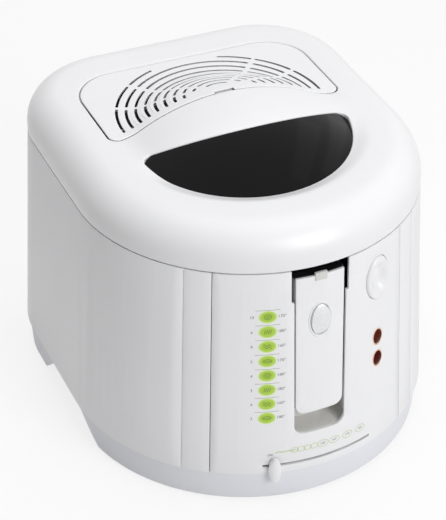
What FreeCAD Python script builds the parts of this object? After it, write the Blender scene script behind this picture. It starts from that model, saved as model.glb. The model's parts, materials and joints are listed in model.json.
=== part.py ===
import FreeCAD, Part
import math
import os

V = FreeCAD.Vector
UP = V(0, 0, 1)

# Overall plan: a half circle in front, straight sides and rounded rear corners
HALF_WIDTH = 132.5
DEPTH_BEHIND_ARC = 173.7
REAR_CORNER_RADIUS = 72.0
WALL_FLARE = 10.0
WALL_THICKNESS = 2.5
BODY_FIT = 0.15
SEAM_GAP = 0.8
LAP = 1.0

# Heights above the surface that the fryer stands on
FOOT_PROUD = 2.0
BASE_TOP = 28.0
SEAM_HEIGHT = 205.5
LID_EDGE_HEIGHT = 32.0

# The centre of the front arc, so that the outside is centred on the origin
ARC_Y = -DEPTH_BEHIND_ARC / 2 + HALF_WIDTH / 2
WALL_TOP = SEAM_HEIGHT - SEAM_GAP
BACK_Y = ARC_Y + DEPTH_BEHIND_ARC

# Base
BASE_INSET_TOP = 1.5
BASE_INSET_FOOT = 3.5
BASE_SKIRT = 3.0
BASE_FLOOR = 3.0
GRIP_CENTRE = 26.0
GRIP_FOOT_WIDTH = 116.0
GRIP_TOP_WIDTH = 62.0
GRIP_ROOF = 1.0
GRIP_CORNER = 9.0
VENT_COUNT = 7
VENT_PITCH = 12.0
VENT_WIDTH = 4.0
VENT_LENGTH = 60.0
FOOT_RADIUS = 9.0
FOOT_HEIGHT = 4.0
FOOT_FRONT_ANGLE = 45.0
FOOT_EDGE = 16.0
SCREW_RADIUS = 1.7
SCREW_HEAD_RADIUS = 3.0
SCREW_HEAD_HEIGHT = 2.2
SCREW_LENGTH = 16.0
SCREW_FIT = 0.05
CROSS_HALF = 0.4
CROSS_DEPTH = 0.8
BOSS_RADIUS = 5.5
BOSS_HEIGHT = 22.0
BOSS_EDGE = 5.0
FRONT_BOSS_ANGLE = 60.0

# Front panel and the grooves beside it
PANEL_ANGLE = 34.0
PANEL_GAP = 0.6
GROOVE_ANGLE = 43.0
GROOVE_WIDTH = 1.0
GROOVE_DEPTH = 0.7

# Folding handle, its recess and its well
HANDLE_WIDTH = 37.8
HANDLE_THICKNESS = 8.5
HANDLE_SKIN = 2.6
HANDLE_SINK = 1.0
HANDLE_BOTTOM = 78.5
HANDLE_TOP = 197.0
HANDLE_CORNER = 7.0
RECESS_WIDTH = 41.0
RECESS_WIDE_WIDTH = 45.0
RECESS_BOTTOM = 60.5
RECESS_STEP = 178.0
RECESS_CORNER = 8.0
WELL_WALL = 2.0
WELL_SIDE_ROOM = 3.0
WELL_DEPTH = 20.5
WELL_BACK_TOP = 156.0
PIVOT_HEIGHT = 163.0
PIVOT_INSET = 12.5
PIVOT_RADIAL = HALF_WIDTH - PIVOT_INSET
PIVOT_PIN_RADIUS = 1.6
PIVOT_EAR_RADIUS = 4.2
PIVOT_EAR_WIDTH = 5.0
PIN_FIT = 0.05
TOP_TAB_WIDTH = 9.4
TOP_TAB_HEIGHT = 6.5
TOP_TAB_ABOVE = 2.5
TOP_TAB_PROUD = 0.8

# Handle button
GRIP_BUTTON_HEIGHT = 159.0
GRIP_BUTTON_WIDE = 15.0
GRIP_BUTTON_TALL = 26.0
GRIP_BUTTON_PROUD = 2.6
GRIP_BUTTON_DEPTH = 5.2
GRIP_BUTTON_FLANGE = 1.4
GRIP_BUTTON_FLANGE_THICK = 1.0
GRIP_BUTTON_DOME = 34.0
BUTTON_GAP = 0.4
FLANGE_ROOM = 0.3

# Lid-release button and the latch behind it
RELEASE_ANGLE = 22.0
RELEASE_HEIGHT = 175.0
RELEASE_WIDE = 24.0
RELEASE_TALL = 36.0
RELEASE_PROUD = 1.6
RELEASE_DEPTH = 9.0
RELEASE_FLANGE = 1.6
RELEASE_FLANGE_THICK = 2.0
RELEASE_DISH = 60.0
RELEASE_DISH_DEPTH = 1.5
LATCH_WIDTH = 10.0
LATCH_BAR = 3.0
LATCH_INSET = 22.0
LATCH_INNER = HALF_WIDTH - LATCH_INSET
LATCH_TOP = 198.0
LATCH_TRAVEL = 3.0
LATCH_ROOM = 1.0
CATCH_INSET = 10.5
CATCH_OUTER = HALF_WIDTH - CATCH_INSET
CATCH_THICK = 2.5
CATCH_LIP = 2.4
CATCH_BOTTOM = 191.0
CATCH_LIP_HEIGHT = 2.5
CATCH_GAP = 0.5

# Pilot lamps
LAMP_HEIGHTS = {"power_lamp_lens": 122.5, "heat_lamp_lens": 103.0}
LAMP_WIDE = 8.5
LAMP_TALL = 13.0
LAMP_PROUD = 1.2
LAMP_DEPTH = 7.0
LAMP_DOME = 14.0
LAMP_FIT = 0.15
CARRIER_WIDTH = 14.0
CARRIER_MARGIN = 11.0
CARRIER_THICK = 2.0
BULB_RADIUS = 2.4
BULB_LENGTH = 9.0

# Temperature slider
SLIDER_REST_ANGLE = -14.5
SLIDER_SWEEP = 29.5
SLIDER_HEIGHT = 35.0
SLOT_HEIGHT = 2.2
SLOT_END_ROOM = 2.2
LEVER_THICK = 1.4
LEVER_WIDTH = 7.0
LEVER_HUB_RADIUS = 8.0
LEVER_HUB_HEIGHT = 8.0
KNOB_WIDE = 9.5
KNOB_TALL = 21.5
KNOB_PROUD = 3.9
KNOB_CLEAR = 0.6
KNOB_BELOW = 2.5

# Oil pot, deck and what hangs under the pot
POT_INSET = 35.5
POT_RADIUS = HALF_WIDTH - POT_INSET
POT_TAPER = 4.0
POT_FOOT_RADIUS = POT_RADIUS - POT_TAPER
POT_WALL = 1.5
POT_BOTTOM = 64.0
POT_CORNER = 14.0
POT_FLANGE = 9.0
POT_FLANGE_RADIUS = POT_RADIUS + POT_FLANGE
DECK_TOP = 187.5
DECK_THICK = 2.5
DECK_POT_ROOM = 0.5
DECK_NOTCH_LAP = 3.0
DECK_NOTCH_BACK = POT_FLANGE_RADIUS - DECK_NOTCH_LAP
ELEMENT_INSET = 27.0
ELEMENT_RING_RADIUS = POT_FOOT_RADIUS - ELEMENT_INSET
ELEMENT_TUBE_RADIUS = 4.0
ELEMENT_GAP_ANGLE = 30.0
ELEMENT_TERMINAL_LENGTH = 12.0
ELEMENT_TERMINAL_ANGLE = 19.0
THERMOSTAT_RADIUS = 17.0
THERMOSTAT_HEIGHT = 20.0
SHAFT_RADIUS = 3.0
SHAFT_STAND = 1.5
CUTOUT_SIZE = 16.0
CUTOUT_HEIGHT = 9.0
CUTOUT_REACH = 38.0
SHIELD_OVERHANG = 3.0
SHIELD_RADIUS = POT_RADIUS + SHIELD_OVERHANG
SHIELD_THICK = 1.0
SHIELD_HEIGHT = 46.5
SHIELD_HOLE = 30.0
SHIELD_POST_RADIUS = 4.0
SHIELD_POST_REACH = 74.0
TERMINAL_WIDE = 34.0
TERMINAL_DEEP = 16.0
TERMINAL_TALL = 14.0
TERMINAL_REACH = 130.0
GLAND_HEIGHT = 15.0
GLAND_RADIUS = 5.0
GLAND_FLANGE_RADIUS = 8.0
GLAND_FLANGE = 2.5
GLAND_BORE = 3.2
GLAND_INSIDE = 5.0

# Basket
BASKET_ROOM = 9.0
BASKET_RADIUS = POT_RADIUS - BASKET_ROOM
BASKET_TAPER = 6.0
BASKET_FOOT_RADIUS = BASKET_RADIUS - BASKET_TAPER
BASKET_BOTTOM = 78.0
BASKET_TOP = 158.0
BASKET_SHEET = 1.2
BASKET_RIM_WIRE = 2.0
FORK_THICK = 2.8
FORK_WIDTH = 4.0
FORK_SIDE_ROOM = 0.7
FORK_SEAT_GAP = 0.3
FORK_EYE_RADIUS = 4.0

# Lid
LID_WALL = 3.0
LID_EDGE_RADIUS = 26.0
MOUND_RADIUS = 171.2
MOUND_RISE = 20.1
MOUND_BACK = 11.7
MOUND_BLEND = 40.0
WINDOW_EDGE = 48.7
WINDOW_RADIUS = HALF_WIDTH - WINDOW_EDGE
WINDOW_BACK = 7.3
BROW_FORWARD = 17.3
BROW_RADIUS = 180.0
BROW_CORNER = 6.0
GLASS_SINK = 0.8
GLASS_THICK = 3.0
GLASS_FIT = 0.3
SEAT_WIDTH = 4.5
SEAT_WALL = 12.0
DISH_WIDTH = 11.0
LINER_THICK = 2.0
LINER_HEIGHT = 207.0
LINER_FIT = 0.2
LINER_RING_INSET = 2.0
LINER_RING_RADIUS = POT_RADIUS - LINER_RING_INSET
LINER_LEDGE = 9.0
LINER_HOLE = LINER_RING_RADIUS - LINER_LEDGE
LINER_RING_WALL = 2.0
LINER_NOTCH = 50.0
LINER_NOTCH_INSET = 12.0
LINER_NOTCH_BACK = BASKET_RADIUS - LINER_NOTCH_INSET
SEAL_WIDTH = 6.0
SEAL_HEIGHT = 5.0
SEAL_CLEAR = 0.3

# Filter under its cover
COVER_SIDE = 38.5
COVER_HALF_WIDTH = HALF_WIDTH - COVER_SIDE
COVER_REAR = 124.6
COVER_FRONT = 29.0
COVER_BOW = 7.0
COVER_REAR_CORNER = 34.0
COVER_FRONT_CORNER = 7.0
SHARPEST_CORNER = 1.0
COVER_GAP = 1.1
NOTCH_HALF_WIDTH = 8.0
NOTCH_DEPTH = 3.5
SLOT_COUNT = 10
SLOT_FIRST_RADIUS = 15.0
SLOT_PITCH = 7.3
SLOT_WIDTH = 2.2
SLOT_MARGIN = 9.0
SLOT_CENTRE = 40.0
BRIDGE_WIDTH = 2.0
BRIDGE_ANGLES = (24.0, 49.0, 131.0, 156.0)
TRAY_SIDE = 10.0
TRAY_HALF_WIDTH = COVER_HALF_WIDTH - TRAY_SIDE
TRAY_FRONT = 46.0
TRAY_REAR = 116.0
TRAY_WALL = 2.0
TRAY_LIP = 14.0
TRAY_FLOOR_HEIGHT = 214.0
TRAY_VENT_PITCH = 14.0
TRAY_VENT_WIDTH = 6.0
FILTER_ROOM = 0.6
GREASE_THICK = 6.0
CHARCOAL_THICK = 8.0

# Lid hinge at the rear
HINGE_BEHIND = 5.8
HINGE_BELOW_SEAM = 0.5
HINGE_BARREL = 4.0
HINGE_PIN_RADIUS = 1.8
HINGE_X = 46.0
KNUCKLE_WIDTH = 9.0
KNUCKLE_GAP = 0.4
BRACKET_HEIGHT = 22.0
ARM_HEIGHT = 9.0

LID_TOP = SEAM_HEIGHT + LID_EDGE_HEIGHT
MOUND_Y = ARC_Y + MOUND_BACK
MOUND_CENTRE_Z = LID_TOP + MOUND_RISE - MOUND_RADIUS
WINDOW_Y = ARC_Y + WINDOW_BACK
BROW_CENTRE_Y = ARC_Y - BROW_FORWARD + BROW_RADIUS
REACH = 2 * (HALF_WIDTH + DEPTH_BEHIND_ARC)


def flare_at(height):
    """How far the wall stands outside the lid's outline at a height."""
    share = (SEAM_HEIGHT - height) / (SEAM_HEIGHT - BASE_TOP)
    return WALL_FLARE * share


def wall_radius(height):
    """Radius of the wall's outside on the front arc."""
    return HALF_WIDTH + flare_at(height)


def plan_wire(offset, height):
    """The body's outline in plan, moved out by an offset."""
    half = HALF_WIDTH + offset
    corner = REAR_CORNER_RADIUS + offset
    back = BACK_Y + offset
    turn = math.sqrt(0.5)
    right = V(half, ARC_Y, height)
    front = V(0, ARC_Y - half, height)
    left = V(-half, ARC_Y, height)
    side_right = V(half, back - corner, height)
    side_left = V(-half, back - corner, height)
    back_right = V(half - corner, back, height)
    back_left = V(-half + corner, back, height)
    mid_right = V(half - corner + corner * turn, back - corner + corner * turn, height)
    mid_left = V(-half + corner - corner * turn, back - corner + corner * turn, height)
    front_right = V(half * turn, ARC_Y - half * turn, height)
    front_left = V(-half * turn, ARC_Y - half * turn, height)
    edges = [
        Part.Arc(left, front_left, front).toShape(),
        Part.Arc(front, front_right, right).toShape(),
        Part.LineSegment(right, side_right).toShape(),
        Part.Arc(side_right, mid_right, back_right).toShape(),
        Part.LineSegment(back_right, back_left).toShape(),
        Part.Arc(back_left, mid_left, side_left).toShape(),
        Part.LineSegment(side_left, left).toShape(),
    ]
    return Part.Wire(edges)


def plan_prism(offset, low, high):
    return Part.Face(plan_wire(offset, low)).extrude(UP * (high - low))


def wall_solid(grow, low, high):
    """The flared body, moved out by grow, filled between two heights."""
    return Part.makeLoft(
        [plan_wire(flare_at(low) + grow, low), plan_wire(flare_at(high) + grow, high)], True, True
    )


def box(x0, x1, y0, y1, z0, z1):
    return Part.makeBox(x1 - x0, y1 - y0, z1 - z0, V(x0, y0, z0))


def mirrored_box(x0, x1, y0, y1, z0, z1):
    return [box(x0, x1, y0, y1, z0, z1), box(-x1, -x0, y0, y1, z0, z1)]


def upright(radius, x, y, low, high):
    return Part.makeCylinder(radius, high - low, V(x, y, low))


def crosswise(radius, x0, x1, y, z):
    return Part.makeCylinder(radius, x1 - x0, V(x0, y, z), V(1, 0, 0))


def ring(outer, inner, y, low, high):
    return upright(outer, 0, y, low, high).cut(upright(inner, 0, y, low, high))


def sector(angle_from, angle_to, low, high):
    """A wedge about the front arc's axis; angle 0 points to the front and grows to the right."""
    points = [V(0, ARC_Y, low)]
    steps = max(1, math.ceil((angle_to - angle_from) / 45.0))
    for step in range(steps + 1):
        turn = math.radians(angle_from + (angle_to - angle_from) * step / steps)
        points.append(V(REACH * math.sin(turn), ARC_Y - REACH * math.cos(turn), low))
    points.append(points[0])
    return Part.Face(Part.makePolygon(points)).extrude(UP * (high - low))


def oval(wide, tall, outer, depth, height):
    """An upright oval plug on the front axis, from a radius inwards by its depth."""
    tall_half = max(wide, tall) / 2
    wide_half = min(wide, tall) / 2
    face = Part.Face(Part.Wire([Part.Ellipse(V(0, 0, 0), tall_half, wide_half).toShape()]))
    plug = face.extrude(UP * depth)
    plug.rotate(V(0, 0, 0), V(1, 1, 1), 240)
    plug.translate(V(0, ARC_Y - outer, height))
    return plug


def turned(shape, angle):
    """A copy moved round the front arc."""
    copy = shape.copy()
    copy.rotate(V(0, ARC_Y, 0), UP, angle)
    return copy


def ball(radius, y, z):
    return Part.makeSphere(radius, V(0, y, z))


def front_ball(radius, y, z):
    """A ball whose pole faces the front."""
    return Part.makeSphere(radius, V(0, y, z), V(0, -1, 0))


def joined(shapes):
    return shapes[0].multiFuse(shapes[1:]).removeSplitter()


def rounded_plate(half_width, low, high, low_corner, y0, y1):
    """A plate facing front with its two lower corners rounded."""
    plate = box(-half_width, half_width, y0, y1, low, high)
    edges = []
    for edge in plate.Edges:
        ends = edge.BoundBox
        at_bottom = abs(ends.ZMin - low) < 0.01 and abs(ends.ZMax - low) < 0.01
        if at_bottom and ends.YLength > 0.01 and ends.XLength < 0.01:
            edges.append(edge)
    return plate.makeFillet(low_corner, edges)


def polar(radius, angle):
    turn = math.radians(angle)
    return radius * math.sin(turn), ARC_Y - radius * math.cos(turn)


def foot_places():
    front_reach = wall_radius(BASE_TOP) - BASE_INSET_FOOT - FOOT_EDGE - FOOT_RADIUS
    front_x, front_y = polar(front_reach, FOOT_FRONT_ANGLE)
    rear_x = HALF_WIDTH - REAR_CORNER_RADIUS / 2
    rear_y = BACK_Y - REAR_CORNER_RADIUS / 2
    return [(front_x, front_y), (-front_x, front_y), (rear_x, rear_y), (-rear_x, rear_y)]


def boss_places():
    inside = wall_radius(BASE_TOP) - WALL_THICKNESS - BOSS_EDGE
    front_x, front_y = polar(inside, FRONT_BOSS_ANGLE)
    corner = REAR_CORNER_RADIUS + WALL_FLARE - WALL_THICKNESS - BOSS_EDGE
    rear_x = HALF_WIDTH - REAR_CORNER_RADIUS + corner * math.sqrt(0.5)
    rear_y = BACK_Y - REAR_CORNER_RADIUS + corner * math.sqrt(0.5)
    return [(front_x, front_y), (-front_x, front_y), (rear_x, rear_y), (-rear_x, rear_y)]


def post_places():
    side = SHIELD_POST_REACH * math.sqrt(0.5)
    return [(sx * side, ARC_Y + sy * side) for sx in (-1, 1) for sy in (-1, 1)]


def handle_recess():
    """The recess outline as a cutting block; its upper part is wider."""
    front = ARC_Y - REACH
    back = ARC_Y - PIVOT_RADIAL
    narrow = rounded_plate(RECESS_WIDTH / 2, RECESS_BOTTOM, REACH, RECESS_CORNER, front, back)
    wide = box(-RECESS_WIDE_WIDTH / 2, RECESS_WIDE_WIDTH / 2, front, back, RECESS_STEP, REACH)
    return narrow.fuse(wide)


def full_wall():
    """The whole flared wall ring, before the front panel is parted from it."""
    return wall_solid(0, BASE_TOP, WALL_TOP).cut(wall_solid(-WALL_THICKNESS, BASE_TOP, WALL_TOP))


def outer_wall():
    half_gap = math.degrees(PANEL_GAP / wall_radius(BASE_TOP))
    shape = full_wall().cut(sector(-PANEL_ANGLE - half_gap, PANEL_ANGLE + half_gap, 0, REACH))
    skin = wall_solid(0, BASE_TOP, WALL_TOP).cut(wall_solid(-GROOVE_DEPTH, BASE_TOP, WALL_TOP))
    groove_half = math.degrees(GROOVE_WIDTH / 2 / wall_radius(BASE_TOP))
    for side in (-1, 1):
        middle = side * GROOVE_ANGLE
        shape = shape.cut(skin.common(sector(middle - groove_half, middle + groove_half, 0, REACH)))
    boss_top = BASE_TOP + BOSS_HEIGHT
    inside = wall_solid(-WALL_THICKNESS / 2, BASE_TOP, boss_top)
    bosses = [upright(BOSS_RADIUS, x, y, BASE_TOP, boss_top).common(inside) for x, y in boss_places()]
    shape = joined([shape] + bosses)
    for x, y in boss_places():
        shape = shape.cut(upright(SCREW_RADIUS + SCREW_FIT, x, y, BASE_TOP - LAP, BASE_TOP + SCREW_LENGTH))
    return shape


def front_panel():
    shape = full_wall().common(sector(-PANEL_ANGLE, PANEL_ANGLE, 0, REACH))
    shape = shape.cut(handle_recess())
    release = oval(RELEASE_WIDE + 2 * BUTTON_GAP, RELEASE_TALL + 2 * BUTTON_GAP, REACH, REACH, RELEASE_HEIGHT)
    shape = shape.cut(turned(release, RELEASE_ANGLE))
    for height in LAMP_HEIGHTS.values():
        lamp = oval(LAMP_WIDE + 2 * LAMP_FIT, LAMP_TALL + 2 * LAMP_FIT, REACH, REACH, height)
        shape = shape.cut(turned(lamp, RELEASE_ANGLE))
    end_room = math.degrees((LEVER_WIDTH / 2) / wall_radius(SLIDER_HEIGHT)) + SLOT_END_ROOM
    slot = sector(
        SLIDER_REST_ANGLE - end_room,
        SLIDER_REST_ANGLE + SLIDER_SWEEP + end_room,
        SLIDER_HEIGHT - SLOT_HEIGHT / 2,
        SLIDER_HEIGHT + SLOT_HEIGHT / 2,
    )
    return shape.cut(slot)


def handle_well():
    """The moulded pocket behind the recess, open at the top of its back for the handle's heel."""
    outer_half = RECESS_WIDE_WIDTH / 2 + WELL_SIDE_ROOM + WELL_WALL
    inner_half = RECESS_WIDE_WIDTH / 2 + WELL_SIDE_ROOM
    low = RECESS_BOTTOM
    inside = wall_solid(-WALL_THICKNESS - BODY_FIT, BASE_TOP, WALL_TOP)
    behind = wall_solid(-WELL_DEPTH - WELL_WALL, BASE_TOP, WALL_TOP)
    room_behind = wall_solid(-WELL_DEPTH, BASE_TOP, WALL_TOP)
    top = DECK_TOP - DECK_THICK
    shell = box(-outer_half, outer_half, ARC_Y - REACH, ARC_Y, low - WELL_WALL, top)
    shell = shell.common(inside).cut(behind)
    hollow = box(-inner_half, inner_half, ARC_Y - REACH, ARC_Y, low, REACH).cut(room_behind)
    shell = shell.cut(hollow)
    return shell.cut(box(-inner_half, inner_half, ARC_Y - PIVOT_RADIAL, ARC_Y, WELL_BACK_TOP, REACH))


def base_tray():
    """Skirt and floor of the plinth, with feet posts and a hand-grip arch in each side."""
    def skirt(grow, low, high):
        return Part.makeLoft([
            plan_wire(WALL_FLARE - BASE_INSET_FOOT + grow, low),
            plan_wire(WALL_FLARE - BASE_INSET_TOP + grow, high),
        ], True, True)

    floor_bottom = BASE_TOP - BASE_FLOOR
    shape = skirt(0, FOOT_PROUD, BASE_TOP)
    shape = shape.cut(plan_prism(WALL_FLARE - BASE_INSET_FOOT - BASE_SKIRT, FOOT_PROUD, floor_bottom))
    arch_y = ARC_Y + GRIP_CENTRE
    arch_top = floor_bottom - GRIP_ROOF
    arch = Part.Face(Part.makePolygon([
        V(-REACH, arch_y - GRIP_FOOT_WIDTH / 2, 0),
        V(-REACH, arch_y + GRIP_FOOT_WIDTH / 2, 0),
        V(-REACH, arch_y + GRIP_TOP_WIDTH / 2, arch_top),
        V(-REACH, arch_y - GRIP_TOP_WIDTH / 2, arch_top),
        V(-REACH, arch_y - GRIP_FOOT_WIDTH / 2, 0),
    ])).extrude(V(2 * REACH, 0, 0))
    roof_edges = [edge for edge in arch.Edges if edge.BoundBox.XLength > REACH and edge.BoundBox.ZMin > LAP]
    shape = shape.cut(arch.makeFillet(GRIP_CORNER, roof_edges))
    posts = [upright(FOOT_RADIUS, x, y, FOOT_HEIGHT, floor_bottom + LAP) for x, y in foot_places()]
    posts += [upright(SHIELD_POST_RADIUS, x, y, BASE_TOP - LAP, SHIELD_HEIGHT) for x, y in post_places()]
    shape = joined([shape] + posts)
    for x, y in boss_places():
        shape = shape.cut(upright(SCREW_RADIUS + SCREW_FIT, x, y, 0, BASE_TOP + LAP))
        shape = shape.cut(upright(SCREW_HEAD_RADIUS + BODY_FIT, x, y, 0, floor_bottom))
    for number in range(VENT_COUNT):
        x = (number - (VENT_COUNT - 1) / 2) * VENT_PITCH
        y0 = ARC_Y + GRIP_CENTRE
        shape = shape.cut(box(
            x - VENT_WIDTH / 2, x + VENT_WIDTH / 2, y0, y0 + VENT_LENGTH, floor_bottom - LAP, BASE_TOP + LAP
        ))
    gland = Part.makeCylinder(GLAND_RADIUS + BODY_FIT, REACH, V(0, ARC_Y, GLAND_HEIGHT), V(0, 1, 0))
    return shape.cut(gland)


def rubber_feet():
    return Part.makeCompound([upright(FOOT_RADIUS, x, y, 0, FOOT_HEIGHT) for x, y in foot_places()])


def base_screws():
    screws = []
    head_top = BASE_TOP - BASE_FLOOR
    for x, y in boss_places():
        head = upright(SCREW_HEAD_RADIUS, x, y, head_top - SCREW_HEAD_HEIGHT, head_top)
        shank = upright(SCREW_RADIUS, x, y, head_top - SCREW_HEAD_HEIGHT / 2, BASE_TOP + SCREW_LENGTH - LAP)
        cross_top = head_top - SCREW_HEAD_HEIGHT + CROSS_DEPTH
        cross = [
            box(x - SCREW_RADIUS, x + SCREW_RADIUS, y - CROSS_HALF, y + CROSS_HALF, 0, cross_top),
            box(x - CROSS_HALF, x + CROSS_HALF, y - SCREW_RADIUS, y + SCREW_RADIUS, 0, cross_top),
        ]
        screws.append(joined([head, shank]).cut(joined(cross)))
    return Part.makeCompound(screws)


def cord_gland():
    """Bush in the rear of the plinth where the supply lead goes in."""
    outside = BACK_Y + WALL_FLARE - BASE_INSET_TOP
    flange_from = outside - BASE_INSET_TOP
    bush = Part.makeCylinder(
        GLAND_RADIUS, GLAND_FLANGE + BASE_SKIRT + GLAND_INSIDE,
        V(0, flange_from - BASE_SKIRT - GLAND_INSIDE, GLAND_HEIGHT), V(0, 1, 0),
    )
    flange = Part.makeCylinder(GLAND_FLANGE_RADIUS, GLAND_FLANGE, V(0, flange_from, GLAND_HEIGHT), V(0, 1, 0))
    skirt = Part.makeLoft([
        plan_wire(WALL_FLARE - BASE_INSET_FOOT, FOOT_PROUD),
        plan_wire(WALL_FLARE - BASE_INSET_TOP, BASE_TOP),
    ], True, True)
    bore = Part.makeCylinder(GLAND_BORE, REACH, V(0, ARC_Y, GLAND_HEIGHT), V(0, 1, 0))
    return joined([bush, flange.cut(skirt)]).cut(bore)


def release_back():
    """Radius of the lid button's inner end."""
    return wall_radius(RELEASE_HEIGHT) + RELEASE_PROUD - RELEASE_DEPTH


def deck():
    """The top deck round the pot, notched in front for the handle and slotted for the latch."""
    shape = wall_solid(-WALL_THICKNESS - BODY_FIT, DECK_TOP - DECK_THICK, DECK_TOP)
    shape = shape.cut(upright(POT_RADIUS + POT_WALL + DECK_POT_ROOM, 0, ARC_Y, 0, REACH))
    notch_half = RECESS_WIDE_WIDTH / 2 + WELL_SIDE_ROOM
    shape = shape.cut(box(-notch_half, notch_half, ARC_Y - REACH, ARC_Y - DECK_NOTCH_BACK, 0, REACH))
    inward = LATCH_TRAVEL + LATCH_ROOM
    button_half = RELEASE_WIDE / 2 + RELEASE_FLANGE + LATCH_ROOM
    button_room = box(-button_half, button_half, ARC_Y - REACH, ARC_Y - release_back() + inward, 0, REACH)
    bar_half = LATCH_WIDTH / 2 + LATCH_ROOM
    bar_outer = LATCH_INNER + LATCH_BAR + LATCH_ROOM
    bar_room = box(-bar_half, bar_half, ARC_Y - bar_outer, ARC_Y - LATCH_INNER + inward, 0, REACH)
    for opening in (button_room, bar_room):
        shape = shape.cut(turned(opening, RELEASE_ANGLE))
    return shape


def spun(points_and_arcs, y):
    """A closed profile of radius and height, turned about an upright axis."""
    wire = Part.Wire(points_and_arcs)
    shape = Part.Face(wire).revolve(V(0, 0, 0), UP, 360)
    shape.translate(V(0, y, 0))
    return shape


def rz(radius, height):
    return V(radius, 0, height)


def line(start, end):
    return Part.LineSegment(start, end).toShape()


def tapered_cup(top_radius, foot_radius, bottom, top, corner):
    """A solid round plug with a rounded foot edge."""
    cup = Part.makeCone(foot_radius, top_radius, top - bottom, V(0, ARC_Y, bottom))
    foot = [edge for edge in cup.Edges if abs(edge.BoundBox.ZMax - bottom) < 0.01]
    return cup.makeFillet(corner, foot)


def oil_pot():
    top = DECK_TOP + POT_WALL
    outside = tapered_cup(
        POT_RADIUS + POT_WALL, POT_FOOT_RADIUS + POT_WALL, POT_BOTTOM, DECK_TOP, POT_CORNER + POT_WALL
    )
    flange = upright(POT_FLANGE_RADIUS, 0, ARC_Y, DECK_TOP, top)
    inside = tapered_cup(POT_RADIUS, POT_FOOT_RADIUS, POT_BOTTOM + POT_WALL, top, POT_CORNER)
    return joined([outside, flange]).cut(inside)


def heating_element():
    """Tubular ring pressed against the pot's underside, with two terminals."""
    height = POT_BOTTOM - ELEMENT_TUBE_RADIUS
    torus = Part.makeTorus(ELEMENT_RING_RADIUS, ELEMENT_TUBE_RADIUS, V(0, ARC_Y, height), UP)
    gap = sector(180 - ELEMENT_GAP_ANGLE / 2, 180 + ELEMENT_GAP_ANGLE / 2, 0, REACH)
    pieces = [torus.cut(gap)]
    for side in (-1, 1):
        x, y = polar(ELEMENT_RING_RADIUS, 180 + side * ELEMENT_TERMINAL_ANGLE)
        pieces.append(upright(ELEMENT_TUBE_RADIUS / 2, x, y, height - ELEMENT_TERMINAL_LENGTH, height))
    return joined(pieces)


def thermostat():
    body_low = POT_BOTTOM - THERMOSTAT_HEIGHT
    body = upright(THERMOSTAT_RADIUS, 0, ARC_Y, body_low, POT_BOTTOM)
    shaft = upright(SHAFT_RADIUS, 0, ARC_Y, BASE_TOP + SHAFT_STAND, body_low + LAP)
    return joined([body, shaft])


def thermal_cutout():
    half = CUTOUT_SIZE / 2
    x = CUTOUT_REACH
    return box(x - half, x + half, ARC_Y - half, ARC_Y + half, POT_BOTTOM - CUTOUT_HEIGHT, POT_BOTTOM)


def heat_shield():
    shape = ring(SHIELD_RADIUS, SHIELD_HOLE, ARC_Y, SHIELD_HEIGHT, SHIELD_HEIGHT + SHIELD_THICK)
    for side in (-1, 1):
        x, y = polar(ELEMENT_RING_RADIUS, 180 + side * ELEMENT_TERMINAL_ANGLE)
        shape = shape.cut(upright(2 * ELEMENT_TUBE_RADIUS, x, y, 0, REACH))
    return shape


def terminal_block():
    y = ARC_Y + TERMINAL_REACH
    half = TERMINAL_WIDE / 2
    block = box(-half, half, y, y + TERMINAL_DEEP, BASE_TOP, BASE_TOP + TERMINAL_TALL)
    for number in (-1, 0, 1):
        x = number * TERMINAL_WIDE / 3
        hole = upright(SCREW_RADIUS, x, y + TERMINAL_DEEP / 2, BASE_TOP + TERMINAL_TALL / 2, REACH)
        block = block.cut(hole)
    return block


def lamp_lens(height):
    outer = wall_radius(height) + LAMP_PROUD
    plug = oval(LAMP_WIDE, LAMP_TALL, outer, LAMP_DEPTH, height)
    plug = plug.common(ball(LAMP_DOME, ARC_Y - outer + LAMP_DOME, height))
    return turned(plug, RELEASE_ANGLE)


def lamp_carrier():
    """Plate behind the lenses that holds a small bulb for each."""
    heights = list(LAMP_HEIGHTS.values())
    back = wall_radius(max(heights)) + LAMP_PROUD - LAMP_DEPTH - BULB_RADIUS - BULB_RADIUS
    pieces = [box(
        -CARRIER_WIDTH / 2, CARRIER_WIDTH / 2, ARC_Y - back, ARC_Y - back + CARRIER_THICK,
        min(heights) - CARRIER_MARGIN, max(heights) + CARRIER_MARGIN,
    )]
    for height in heights:
        front = wall_radius(height) + LAMP_PROUD - LAMP_DEPTH
        low = height - BULB_LENGTH / 2
        pieces.append(box(
            -BULB_RADIUS, BULB_RADIUS, ARC_Y - front, ARC_Y - back + CARRIER_THICK / 2, low, low + BULB_LENGTH
        ))
    return turned(joined(pieces), RELEASE_ANGLE)


def handle_face_radius(height):
    return wall_radius(height) - HANDLE_SINK


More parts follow.
